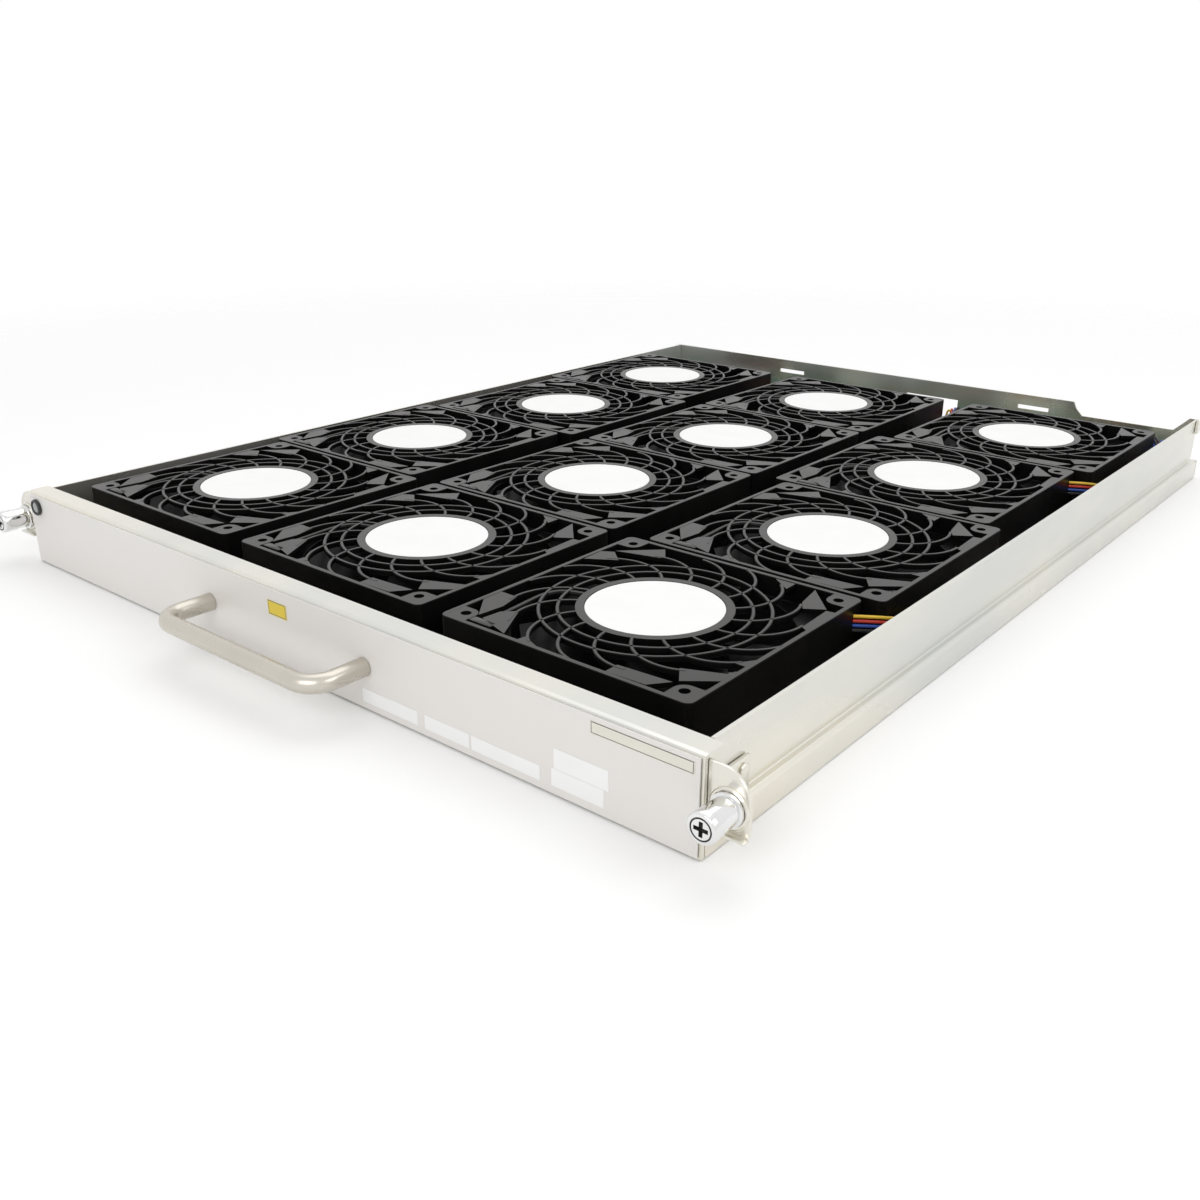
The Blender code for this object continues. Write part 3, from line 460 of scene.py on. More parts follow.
def rotor_plastic():
    plastic = bpy.context.scene.tray_colours.plastic
    return surface("rotor_plastic", shade(plastic, 0.7), plastic, 0.34, 0.46, patch_scale=35.0, bump=0.06,
                   specular=0.12)


def paper_label():
    return surface("paper_label", (0.92, 0.92, 0.915), (0.87, 0.87, 0.86), 0.42, 0.55, patches=0.4,
                   patch_scale=50.0, grain_scale=3000.0, bump=0.04)


def solder_resist():
    board = bpy.context.scene.tray_colours.board
    return surface("solder_resist", board, shade(board, 1.5), 0.26, 0.40, patches=0.9, patch_scale=120.0,
                   grain_scale=900.0, bump=0.12)


def white_nylon():
    return surface("white_nylon", (0.76, 0.75, 0.70), (0.70, 0.68, 0.62), 0.42, 0.55, patch_scale=80.0)


def black_moulding():
    return surface("black_moulding", (0.020, 0.020, 0.020), (0.034, 0.034, 0.034), 0.38, 0.52,
                   patch_scale=70.0, grain_scale=2000.0, bump=0.08)


def gold_contact():
    return surface("gold_contact", (0.83, 0.58, 0.22), (0.72, 0.48, 0.18), 0.20, 0.32, metallic=1.0,
                   patch_scale=200.0)


def ink_line():
    return surface("ink_line", (0.10, 0.10, 0.10), (0.16, 0.16, 0.16), 0.5, 0.6, patch_scale=90.0)


def recess_shade():
    return surface("recess_shade", (0.10, 0.098, 0.09), (0.05, 0.05, 0.045), 0.40, 0.55, metallic=0.6,
                   patch_scale=300.0)


def nickel_tab():
    return surface("nickel_tab", (0.62, 0.58, 0.50), (0.52, 0.49, 0.42), 0.30, 0.42, metallic=0.6,
                   patch_scale=160.0)


def solder_tin():
    return surface("solder_tin", (0.74, 0.74, 0.72), (0.60, 0.60, 0.58), 0.26, 0.42, metallic=0.6,
                   patch_scale=260.0)


def yellow_label():
    return surface("yellow_label", (0.80, 0.62, 0.05), (0.74, 0.56, 0.05), 0.40, 0.52, patch_scale=60.0)


def plate_label():
    return surface("plate_label", (0.78, 0.76, 0.67), (0.73, 0.71, 0.62), 0.42, 0.52, patch_scale=30.0)


def lamp_lens():
    return surface("lamp_lens", (0.30, 0.31, 0.32), (0.20, 0.21, 0.22), 0.08, 0.16, patch_scale=150.0,
                   coat=0.6)


WIRE_COLOURS = {"yellow": (0.80, 0.52, 0.04), "red": (0.62, 0.05, 0.03), "blue": (0.04, 0.10, 0.45),
                "black": (0.020, 0.020, 0.022)}


def wire_sleeve(name):
    colour = WIRE_COLOURS[name]
    return surface("wire_" + name, colour, shade(colour, 0.85), 0.32, 0.42, patch_scale=90.0)


NODE_FINISHES = {
    "sheet_steel": zinc_sheet, "front_film": front_facing, "satin_nickel": satin_nickel,
    "chrome": bright_chrome, "screw_steel": screw_steel, "fan_plastic": fan_plastic,
    "rotor_plastic": rotor_plastic, "green_board": solder_resist, "white_nylon": white_nylon,
    "black_moulding": black_moulding, "wire_sleeve": black_moulding,
}


# The moulded fan frames


DUCT_RADIUS = 0.0570
SEAT_REACH = 0.0048
POCKET_DEPTH = 0.0090
# The label's seat in the disc and the label: depth, gap round it, thickness, and its border's inset and width
LABEL_RECESS, LABEL_GAP, LABEL_SHEET = 0.35 * MM, 0.3 * MM, 0.23 * MM
LABEL_BORDER = (1.4 * MM, 0.25 * MM)
# Faces this near the top of a fan get the paler copy of the plastic: painted light from above on the upward
# faces
LIT_TOP_BAND = 0.6 * MM
LEAD_DEPTH, LEAD_RADIUS, CLIP_DEPTH = 1.25 * MM, 1.15 * MM, 3 * MM
# Route of the lead and its clip, in millimetres from the fan's middle
LEAD_ROUTE = ((-30, -6), (-38, -7.5), (-43.5, -12), (-44, -22), (-42.5, -36), (-42, -50), (-41.5, -55))
LEAD_CLIP = ((-48, -56), (-36, -52))


# Arms: where they start and how far they sweep, in degrees, and two more points as radius and degrees
ARM_PHASE = 16.3
ARM_SECOND = (0.0465, 8.5)
ARM_THIRD = (0.0583, 26.0)
ARM_SWEEP = 92.0

# Flat webs between the guard's ribs near the corners, in millimetres from the fan's middle
WEBS = (
    ((-53, 40.2), (-36.9, 55.9), (-30.7, 47.6), (-32.1, 45.8)),
    ((-57.7, 35.7), (-52.4, 39), (-44.3, 31.8), (-57.1, 23.6)),
    ((39.5, 56.5), (53.6, 41.1), (45.8, 35.9), (42.2, 41.7)),
    ((54.1, 39.9), (58.3, 40.5), (58.3, 17.9), (55, 20)),
    ((20.2, 57.1), (29.8, 57.1), (29.8, 50), (26.2, 52.4)),
    ((-58.9, -27.4), (-49, -27.6), (-46.4, -38.1), (-47.6, -50.6), (-58.1, -37.1)),
    ((-44.3, -51.8), (-43.4, -42.8), (-38.1, -37.8), (-27.6, -57.1)),
    ((-19.6, -53.9), (-10.7, -57.7), (-20.2, -57.7)),
    ((40.5, -39), (57.7, -31.5), (57.7, -38.3), (46.4, -47.4)),
    ((22, -50.9), (45.2, -49.4), (39.3, -57.1), (22, -57.7)),
    ((53, -23.2), (58.1, -15.5), (58.1, -23.2)),
)


def polar(radius, degrees):
    return Vector((radius * math.cos(math.radians(degrees)), radius * math.sin(math.radians(degrees)), 0))


def circle_through(a, b, c):
    """Centre of the circle through three points of the plane."""
    d = 2 * (a.x * (b.y - c.y) + b.x * (c.y - a.y) + c.x * (a.y - b.y))
    squares = [point.x ** 2 + point.y ** 2 for point in (a, b, c)]
    x = (squares[0] * (b.y - c.y) + squares[1] * (c.y - a.y) + squares[2] * (a.y - b.y)) / d
    y = (squares[0] * (c.x - b.x) + squares[1] * (a.x - c.x) + squares[2] * (b.x - a.x)) / d
    return Vector((x, y, 0))


def add_rib_section(name, place, facing, width, low, high, keep_face):
    """Cross-section of a rib: an upright rectangle with its corners taken off."""
    made = add_upright(name, width, high - low, (place.x, place.y, (low + high) / 2),
                       (math.pi / 2, 0, facing))
    edit_all()
    bpy.ops.mesh.bevel(offset=width * 0.18, affect="VERTICES", segments=1)
    if not keep_face:
        bpy.ops.mesh.select_all(action="SELECT")
        bpy.ops.mesh.delete(type="ONLY_FACE")
    bpy.ops.mesh.select_all(action="SELECT")
    return made


def add_guard_arms(sizes, low, high):
    """The curved arms: one section swept along its arc, then repeated round the disc."""
    start = polar(sizes.disc_radius, ARM_PHASE)
    centre = circle_through(start, polar(ARM_SECOND[0], ARM_PHASE + ARM_SECOND[1]),
                            polar(ARM_THIRD[0], ARM_PHASE + ARM_THIRD[1]))
    spoke = start - centre
    facing = math.atan2(spoke.y, spoke.x)
    made = add_rib_section("guard_arms", start, facing, sizes.rib_width, low, high, keep_face=True)
    bpy.ops.mesh.spin(steps=14, angle=-math.radians(ARM_SWEEP), center=centre, axis=(0, 0, 1))
    bpy.ops.mesh.select_all(action="SELECT")
    bpy.ops.mesh.spin(steps=sizes.arms - 1, dupli=True, angle=math.tau * (sizes.arms - 1) / sizes.arms,
                      center=(0, 0, 0), axis=(0, 0, 1))
    close_mesh()
    return made


def add_guard_ring(name, radius, sizes, low, high):
    made = add_rib_section(name, Vector((radius, 0, 0)), 0.0, sizes.rib_width, low, high, keep_face=False)
    bpy.ops.mesh.spin(steps=96, angle=math.tau, center=(0, 0, 0), axis=(0, 0, 1))
    bpy.ops.mesh.select_all(action="SELECT")
    bpy.ops.mesh.remove_doubles(threshold=1e-6)
    close_mesh()
    return made


def build_frame_body(sizes, half, height):
    """Square body: soft upright corners, deep corner pockets inside its rim, and the round duct."""
    body = add_block("frame_body", (-half, -half, 0), (half, half, height))
    bpy.ops.object.mode_set(mode="EDIT")
    pick("EDGE", lambda middle, run: abs(run.z) > height / 2)
    bpy.ops.mesh.bevel(offset=3.2 * MM, segments=4, affect="EDGES")
    pick("FACE", lambda middle, normal: normal.z > 0.9)
    bpy.ops.mesh.inset(thickness=sizes.rim)
    draw_out((0, 0, -POCKET_DEPTH))
    bpy.ops.object.mode_set(mode="OBJECT")
    cut(body, add_bar("duct", DUCT_RADIUS, -MM, height + MM, sides=96))
    return body


def build_corner_seat(sizes, side_x, side_y, inner, height):
    """Flat seat round a screw hole, filling the corner of the rim, with a round inner edge."""
    hole = Vector((side_x * sizes.hole_spacing / 2, side_y * sizes.hole_spacing / 2, 0))
    near = hole - Vector((side_x, side_y, 0)) * SEAT_REACH
    far = Vector((side_x * inner, side_y * inner, 0))
    low = Vector((min(near.x, far.x), min(near.y, far.y), height - POCKET_DEPTH - MM))
    high = Vector((max(near.x, far.x), max(near.y, far.y), height))
    seat = add_block("corner_seat", low, high - Vector((0, 0, 0.03 * MM)))
    bpy.ops.object.mode_set(mode="EDIT")
    pick("EDGE", lambda middle, run: abs(run.z) > MM and (middle.xy - near.xy).length < MM)
    bpy.ops.mesh.bevel(offset=SEAT_REACH, segments=8, affect="EDGES")
    bpy.ops.object.mode_set(mode="OBJECT")
    cut(seat, add_bar("hole", sizes.hole_radius, 0, height + MM, across=hole.xy, sides=28))
    return seat


def build_lead_sleeve(height):
    """Sleeved fan lead lying in the guard, and the clip that holds it at the rim."""
    route = [(x * MM, y * MM, height - LEAD_DEPTH) for x, y in LEAD_ROUTE]
    sleeve = wire_curve("lead_sleeve", route, LEAD_RADIUS, None)
    make_active(sleeve)
    bpy.ops.object.convert(target="MESH")
    sleeve = named("lead_sleeve")
    low, high = LEAD_CLIP
    clip = add_block("lead_clip", (low[0] * MM, low[1] * MM, height - CLIP_DEPTH),
                     (high[0] * MM, high[1] * MM, height - 0.1 * MM))
    soften(clip, 0.5 * MM)
    return [sleeve, clip]


def build_fan_pattern(sizes):
    low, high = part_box("fan_frame_r1c1")
    half, height = (high.x - low.x) / 2, high.z - low.z
    seat = height - sizes.rib_depth
    body = build_frame_body(sizes, half, height)
    soften(body, 0.25 * MM, segments=1, angle=60.0)
    parts = [body]
    arms = add_guard_arms(sizes, seat, height)
    inner = half - sizes.rim / 2
    cut(arms, add_block("arm_limit", (-inner, -inner, 0), (inner, inner, height + MM)), "INTERSECT")
    parts.append(arms)
    for name, radius in (("ring_one", sizes.first_ring), ("ring_two", sizes.second_ring)):
        parts.append(add_guard_ring(name, radius, sizes, seat, height))
    disc = add_bar("guard_disc", sizes.disc_radius, seat, height, sides=96)
    bpy.ops.object.mode_set(mode="EDIT")
    pick("FACE", lambda middle, normal: normal.z > 0.9)
    bpy.ops.mesh.inset(thickness=sizes.disc_radius - sizes.label_radius - LABEL_GAP)
    draw_out((0, 0, -LABEL_RECESS))
    bpy.ops.object.mode_set(mode="OBJECT")
    parts.append(disc)
    parts += [build_corner_seat(sizes, x, y, inner, height) for x in (-1, 1) for y in (-1, 1)]
    parts += build_lead_sleeve(height)
    for index, web in enumerate(WEBS):
        outline = [(x * MM, y * MM, seat + 0.4 * MM) for x, y in web]
        parts.append(add_plate(f"web_{index}", outline, (0, 0, sizes.rib_depth - 0.5 * MM)))
    return join("fan_pattern", parts)


class FANTRAY_OT_guards(bpy.types.Operator):
    """Model the moulded frame and guard of each fan"""
    bl_idname = "fantray.guards"
    bl_label = "Fan frames"

    def execute(self, context):
        pattern = build_fan_pattern(context.scene.guard_sizes)
        for tag in FAN_TAGS:
            made = copy_to(pattern, "guarded_frame_" + tag, fan_centre(tag))
            dress(made, fan_plastic(), replaces=("fan_frame_" + tag,))
            # Upward faces at the top take the paler copy of the plastic: painted light on the fan tops
            made.data.materials.append(fan_tops())
            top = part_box("fan_frame_" + tag)[1].z - LIT_TOP_BAND
            for face in made.data.polygons:
                if face.normal.z > 0.9 and face.center.z > top:
                    face.material_index = 1
        bpy.data.objects.remove(pattern)
        return {"FINISHED"}


class FANTRAY_OT_labels(bpy.types.Operator):
    """Lay a round bare label on each fan's disc"""
    bl_idname = "fantray.labels"
    bl_label = "Fan labels"

    def execute(self, context):
        low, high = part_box("fan_frame_r1c1")
        seat = high.z - low.z - LABEL_RECESS
        pattern = add_bar("label_pattern", context.scene.guard_sizes.label_radius, seat, seat + LABEL_SHEET,
                          sides=96)
        soften(pattern, 0.08 * MM, segments=1)
        bpy.ops.object.mode_set(mode="EDIT")
        pick("FACE", lambda middle, normal: normal.z > 0.9 and middle.xy.length < MM)
        for width in LABEL_BORDER:
            bpy.ops.mesh.inset(thickness=width)
        bpy.ops.object.mode_set(mode="OBJECT")
        for tag in FAN_TAGS:
            dress(copy_to(pattern, "fan_label_" + tag, fan_centre(tag)), paper_label())
        bpy.data.objects.remove(pattern)
        return {"FINISHED"}


# Rotors


ROTOR_BLADES = 5
HUB_RADIUS = 30 * MM
TIP_RADIUS = 54 * MM
SHAFT_LENGTH = 1.2 * MM
# A blade: its lean and twist in degrees, its camber, its thickness and its gap to the hub's ends
BLADE_LEAN, BLADE_TWIST, BLADE_CAMBER = 10, 38, 0.10
BLADE_SHEET, BLADE_GAP = 1.8 * MM, 3 * MM


def build_rotor_pattern(height):
    """Hub with cambered, twisted blades; its top lies at z = 0."""
    hub = add_bar("hub", HUB_RADIUS, -height, 0, sides=64)
    soften(hub, 1.2 * MM, segments=3)
    clear_selection()
    bpy.ops.mesh.primitive_grid_add(x_subdivisions=10, y_subdivisions=8, size=1)
    blade = named("blade")
    root = HUB_RADIUS * 0.96
    for corner in blade.data.vertices:
        across, along = corner.co.x + 0.5, corner.co.y + 0.5
        reach = root + (TIP_RADIUS - root) * across
        turn = math.radians(BLADE_LEAN * across + BLADE_TWIST * along)
        turn += BLADE_CAMBER * math.sin(math.pi * along)
        fall = BLADE_GAP + (height - 2 * BLADE_GAP) * along
        corner.co = (reach * math.cos(turn), reach * math.sin(turn), -fall)
    wall = blade.modifiers.new("Blade", "SOLIDIFY")
    wall.thickness = BLADE_SHEET
    wall.offset = 0.0
    work_in(blade, wall)
    edit_all()
    bpy.ops.mesh.spin(steps=ROTOR_BLADES - 1, dupli=True, angle=math.tau * (ROTOR_BLADES - 1) / ROTOR_BLADES,
                      center=(0, 0, 0), axis=(0, 0, 1))
    bpy.ops.object.mode_set(mode="OBJECT")
    return join("rotor_pattern", [hub, blade])


class FANTRAY_OT_rotors(bpy.types.Operator):
    """Model the bladed rotor of each fan"""
    bl_idname = "fantray.rotors"
    bl_label = "Rotors"

    def execute(self, context):
        low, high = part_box("rotor_r1c1")
        pattern = build_rotor_pattern(high.z - low.z - 2 * SHAFT_LENGTH)
        for tag in FAN_TAGS:
            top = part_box("rotor_" + tag)[1].z - SHAFT_LENGTH
            centre = fan_centre(tag)
            made = copy_to(pattern, "bladed_rotor_" + tag, (centre.x, centre.y, top))
            dress(made, rotor_plastic(), body="rotor_" + tag,
                  replaces=("rotor_" + tag,), angle=50.0)
        bpy.data.objects.remove(pattern)
        return {"FINISHED"}


# Sheet metal


# The stepped rail: height of its runner and width of the ledge above it
RUNNER_HEIGHT = 11.8 * MM
LEDGE = 4 * MM


def build_rail(side_name, side):
    """Stepped rail: a runner wall, a ledge folded in from it, and the side wall above."""
    low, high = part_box("side_rail_" + side_name)
    outer = (high.x if side > 0 else low.x) - side * SHEET / 2
    middle_y, length = (low.y + high.y) / 2, high.y - low.y
    top = RUNNER_HEIGHT - SHEET / 2
    rail = add_upright("stepped_rail_" + side_name, top, length, (outer, middle_y, top / 2),
                       (0, math.pi / 2, 0))
    bpy.ops.object.mode_set(mode="EDIT")
    pick("EDGE", lambda middle, run: middle.z > top - MM and abs(run.y) > length / 2)
    draw_out((-side * LEDGE, 0, 0))
    draw_out((0, 0, high.z - top))
    close_mesh()
    soften(rail, 1.4 * MM, segments=5, angle=30.0)
    wall = rail.modifiers.new("Sheet", "SOLIDIFY")
    wall.thickness = SHEET
    wall.offset = 0.0
    wall.use_even_offset = True
    work_in(rail, wall)
    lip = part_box("front_panel")[1]
    cut(rail, add_block("notch", (low.x - MM, low.y - MM, high.z - 1.8 * MM),
                        (high.x + MM, lip.y + 0.3 * MM, high.z + MM)))
    return rail


class FANTRAY_OT_rails(bpy.types.Operator):
    """Fold the two stepped side rails"""
    bl_idname = "fantray.rails"
    bl_label = "Side rails"

    def execute(self, context):
        for name, side in SIDES:
            dress(build_rail(name, side), zinc_sheet(), replaces=("side_rail_" + name,))
        return {"FINISHED"}


def build_handle():
    """Round bar drawn out of one leg, bent, run across, bent again and brought back."""
    low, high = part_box("handle")
    radius, bend = (high.z - low.z) / 2, 10 * MM
    z = (low.z + high.z) / 2
    leg_x = low.x + radius
    clear_selection()
    bpy.ops.mesh.primitive_circle_add(vertices=40, radius=radius, fill_type="NGON",
                                      location=(leg_x, high.y, z), rotation=(math.pi / 2, 0, 0))
    bar = named("bar_handle")
    grip_y = low.y + radius
    edit_all()
    draw_out((0, grip_y + bend - high.y, 0))
    bpy.ops.mesh.spin(steps=12, angle=-math.pi / 2, center=(leg_x + bend, grip_y + bend, z), axis=(0, 0, 1))
    draw_out((-2 * (leg_x + bend), 0, 0))
    bpy.ops.mesh.spin(steps=12, angle=-math.pi / 2, center=(-leg_x - bend, grip_y + bend, z), axis=(0, 0, 1))
    draw_out((0, high.y - grip_y - bend, 0))
    bpy.ops.mesh.select_all(action="SELECT")
    bpy.ops.mesh.remove_doubles(threshold=1e-6)
    close_mesh()
    return bar


class FANTRAY_OT_handle(bpy.types.Operator):
    """Bend the bar handle"""
    bl_idname = "fantray.handle"
    bl_label = "Handle"

    def execute(self, context):
        dress(build_handle(), satin_nickel(), replaces=("handle",), angle=50.0)
        return {"FINISHED"}


# Front labels, in millimetres: left, right, bottom and top on the panel's face
FACE_LABELS = (
    ("caution_patch", (-8.5, 3.9, 25.2, 31.8), yellow_label, True),
    ("blank_label_one", (50, 82, 3.5, 9.5), paper_label, False),
    ("blank_label_two", (86, 110, 3.5, 9.5), paper_label, False),
    ("blank_label_three", (111, 145, 3.5, 9.5), paper_label, False),
    ("blank_label_four", (151.6, 176, 11, 19), paper_label, False),
    ("blank_label_five", (150.4, 174, 3.8, 10.9), paper_label, False),
    ("outlined_plate", (168, 210.4, 30.5, 35.3), plate_label, True),
)


def build_face_label(name, place, outlined):
    left, right, bottom, top = (value * MM for value in place)
    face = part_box("front_overlay")[0].y
    label = add_block(name, (left, face - 0.16 * MM, bottom), (right, face - 0.01 * MM, top))
    soften(label, 0.05 * MM, segments=1)
    if outlined:
        bpy.ops.object.mode_set(mode="EDIT")
        pick("FACE", lambda middle, normal: normal.y < -0.9)
        bpy.ops.mesh.inset(thickness=0.35 * MM)
        bpy.ops.mesh.inset(thickness=0.30 * MM)
        bpy.ops.object.mode_set(mode="OBJECT")
    return label


def ink_outline(label):
    """Colour the narrow ring between the two insets of a label's face."""
    label.data.materials.append(ink_line())
    facing = [face for face in label.data.polygons if face.normal.y < -0.9]
    for face in facing[-5:-1]:
        face.material_index = 1


def build_status_lamp():
    """Black ring round a low lens."""
    low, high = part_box("status_lamp")
    place, radius = across_of("status_lamp"), (high.x - low.x) / 2
    ring = add_turned("lamp_ring", (
        (radius, high.y), (radius, low.y + 0.5 * MM), (radius * 0.92, low.y),
        (radius * 0.74, low.y), (radius * 0.70, low.y + 0.5 * MM)), place)
    dress(ring, black_moulding(), replaces=("status_lamp",))
    lens = add_turned("lamp_lens", (
        (radius * 0.68, high.y - 0.2 * MM), (radius * 0.66, low.y + 0.45 * MM),
        (radius * 0.50, low.y + 0.15 * MM), (radius * 0.2, low.y)), place)
    dress(lens, lamp_lens())


class FANTRAY_OT_front(bpy.types.Operator):
    """Stick the bare labels on the front and set the status lamp in its ring"""
    bl_idname = "fantray.front"
    bl_label = "Front details"

    def execute(self, context):
        for name, place, finish, outlined in FACE_LABELS:
            label = dress(build_face_label(name, place, outlined), finish())
            if outlined:
                ink_outline(label)
        build_status_lamp()
        return {"FINISHED"}


# Captive screws


# Radii of a captive screw: the groove in its head's face, the skirt's bore, the neck and the shank
GROOVE_IN, GROOVE_OUT = 3.5 * MM, 4.1 * MM
SKIRT_BORE, NECK_RADIUS, SHANK_RADIUS = 5.35 * MM, 3.7 * MM, 2.2 * MM
# Depths of the groove and the cross recess, and half the length and width of an arm of the cross
GROOVE_DEPTH, CROSS_DEPTH = 0.6 * MM, 1.8 * MM
CROSS_ARM = (2.7 * MM, 0.75 * MM)
COLLAR_BORE, COLLAR_RADIUS = 4.2 * MM, 5.2 * MM
# The ear: height of its boss, the cut lower corner, the reach and fall of its shoulder, the pressed ring's
# radii and rise, and how far its fold and its leg go
EAR_BOSS, EAR_CORNER = 0.8 * MM, 2.2 * MM
SHOULDER_REACH, SHOULDER_FALL = 11 * MM, 12 * MM
RING_IN, RING_OUT, RING_RISE = 6.3 * MM, 7.4 * MM, 0.9 * MM
FOLD_WIDTH, FOLD_REACH, LEG_HEIGHT = 13 * MM, 2.4 * MM, 13 * MM


def from_axis(spot, place):
    return math.hypot(spot.x - place[0], spot.z - place[1])


def open_bore(piece, place):
    """Take the two end faces off a turned piece and join their rims, so that it becomes a tube."""
    make_active(piece)
    bpy.ops.object.mode_set(mode="EDIT")
    pick("FACE", lambda middle, normal: abs(normal.y) > 0.9 and from_axis(middle, place) < MM)
    bpy.ops.mesh.delete(type="ONLY_FACE")
    bpy.ops.mesh.select_mode(type="EDGE")
    bpy.ops.mesh.select_non_manifold()
    bpy.ops.mesh.bridge_edge_loops()
    close_mesh()


def build_thumb_screw(name):
    """Head with a grooved face and a cross recess, a skirt over the collar, neck and shank."""
    low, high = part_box("captive_screw_" + name)
    place, radius, front = across_of("captive_screw_" + name), (high.x - low.x) / 2, low.y
    neck_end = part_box("screw_clip_" + name)[0].y - 0.3 * MM
    skirt_end, skirt_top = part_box("ferrule_" + name)[0].y + 0.5 * MM, front + 3.3 * MM
    screw = add_turned("thumb_screw_" + name, (
        (GROOVE_IN, front), (GROOVE_IN, front + GROOVE_DEPTH), (GROOVE_OUT, front + GROOVE_DEPTH),
        (GROOVE_OUT, front), (radius * 0.88, front), (radius * 0.96, front + 0.3 * MM),
        (radius, front + 0.8 * MM), (radius, front + 2.9 * MM), (radius - 0.15 * MM, front + 3.1 * MM),
        (radius - 0.15 * MM, skirt_end), (SKIRT_BORE, skirt_end), (SKIRT_BORE, skirt_top),
        (NECK_RADIUS, skirt_top), (NECK_RADIUS, neck_end), (SHANK_RADIUS, neck_end),
        (SHANK_RADIUS, high.y)), place)
    for wide, tall in (CROSS_ARM, CROSS_ARM[::-1]):
        cut(screw, add_block("recess", (place[0] - wide, front - MM, place[1] - tall),
                             (place[0] + wide, front + CROSS_DEPTH, place[1] + tall)))
    dress(screw, bright_chrome(), body="captive_screw_" + name,
          replaces=("captive_screw_" + name,))
    screw.data.materials.append(recess_shade())
    for face in screw.data.polygons:
        sunk = front + 0.1 * MM < face.center.y < front + 2.0 * MM
        if sunk and from_axis(face.center, place) < GROOVE_OUT:
            face.material_index = 1


def build_collar(name):
    """Chrome collar that the screw runs in, with its flange on the ear."""
    low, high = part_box("ferrule_" + name)
    place, flange = across_of("ferrule_" + name), (high.x - low.x) / 2
    collar = add_turned("collar_" + name, (
        (COLLAR_BORE, high.y), (flange, high.y), (flange, high.y - MM),
        (flange - 0.3 * MM, high.y - 1.2 * MM), (COLLAR_RADIUS, high.y - 1.3 * MM),
        (COLLAR_RADIUS, low.y + 0.3 * MM), (COLLAR_RADIUS - 0.3 * MM, low.y), (COLLAR_BORE, low.y)), place)
    open_bore(collar, place)
    dress(collar, bright_chrome(), replaces=("ferrule_" + name,))


def add_sided_block(name, side, near, far, low, high):
    """A block between two distances from the tray's middle, on one side; low and high are (y, z)."""
    ends = sorted((side * near, side * far))
    return add_block(name, (ends[0], *low), (ends[1], *high))


def build_ear(name, side):
    """Ear with a round shoulder, a pressed ring, a folded lower edge and a riveted leg on the side wall."""
    place = across_of("ferrule_" + name)
    low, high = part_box("ear_" + name)
    inner, out = sorted((abs(low.x), abs(high.x)))
    front, wall = low.y + EAR_BOSS, inner + SHEET
    outline = [(inner, low.z), (out - EAR_CORNER, low.z), (out, low.z + EAR_CORNER)]
    for step in range(7):
        turn = math.radians(15 * step)
        outline.append((out - SHOULDER_REACH + SHOULDER_REACH * math.cos(turn),
                        high.z - SHOULDER_FALL + SHOULDER_FALL * math.sin(turn)))
    outline.append((inner, high.z))
    plate = add_plate("ear_plate", [(side * x, front, z) for x, z in outline], (0, SHEET, 0))
    cut(plate, add_bar("shank_hole", 4.3 * MM, front - MM, front + 3 * MM, axis="Y", across=place))
    soften(plate, 0.3 * MM)
    ring = add_turned("pressed_ring", (
        (RING_IN, front + 0.2 * MM), (RING_OUT, front + 0.2 * MM), (RING_OUT - 0.1 * MM, front - 0.5 * MM),
        (RING_OUT - 0.5 * MM, front - RING_RISE), (RING_IN, front - RING_RISE)), place, sides=64)
    open_bore(ring, place)
    fold = add_sided_block("ear_fold", side, out - FOLD_WIDTH, out - 0.2 * MM,
                           (front - FOLD_REACH, low.z), (front + 0.8 * MM, low.z + 1.2 * MM))
    soften(fold, 0.5 * MM, segments=3)
    leg = add_sided_block("ear_leg", side, inner, wall, (front + 0.4 * MM, low.z + 0.4 * MM),
                          (high.y, low.z + LEG_HEIGHT))
    soften(leg, 0.3 * MM)
    ends = sorted((side * (wall - 0.1 * MM), side * (wall + 1.1 * MM)))
    rivet = add_bar("rivet", 2.2 * MM, *ends, axis="X", across=(high.y - 4 * MM, low.z + 9 * MM))
    soften(rivet, 0.6 * MM, segments=3)
    dress(join("eared_bracket_" + name, [plate, ring, fold, leg, rivet]), zinc_sheet(),
          replaces=("ear_" + name,))


class FANTRAY_OT_screws(bpy.types.Operator):
    """Turn the captive screws, with a cross recess, and their collars, and fold the ears"""
    bl_idname = "fantray.screws"
    bl_label = "Captive screws"

    def execute(self, context):
        for name, side in SIDES:
            build_thumb_screw(name)
            build_collar(name)
            build_ear(name, side)
        return {"FINISHED"}


# Wires


def wire_curve(name, points, radius, material):
    """A round wire along a smooth line through its points."""
    line = bpy.data.curves.new(name, "CURVE")
    line.dimensions = "3D"
    line.bevel_depth = radius
    line.bevel_resolution = 2
    line.use_fill_caps = True
    path = line.splines.new("NURBS")
    path.points.add(len(points) - 1)
    for point, spot in zip(path.points, points):
        point.co = (*spot, 1)
    path.order_u = 4
    path.use_endpoint_u = True
    line.resolution_u = 6
    made = bpy.data.objects.new(name, line)
    bpy.context.scene.collection.objects.link(made)
    if material is not None:
        line.materials.append(material)
    return made


# Each fan's plug, and the x of the gap that its wires go down into, in millimetres
PLUG_GAPS = {"fan_plug_01": 204, "fan_plug_02": 204, "fan_plug_03": 204, "fan_plug_04": 66,
             "fan_plug_05": 66, "fan_plug_06": 66, "fan_plug_07": 66, "fan_plug_08": -66,
             "fan_plug_09": -66, "fan_plug_10": -66}
GAP_LOOMS = {204: "wire_loom_right", 66: "wire_loom_middle_right", -66: "wire_loom_middle_left"}
WIRE_ORDER = ("yellow", "red", "blue", "black")
WIRE_RADIUS = 0.75 * MM
LAMP_GAP = -204 * MM
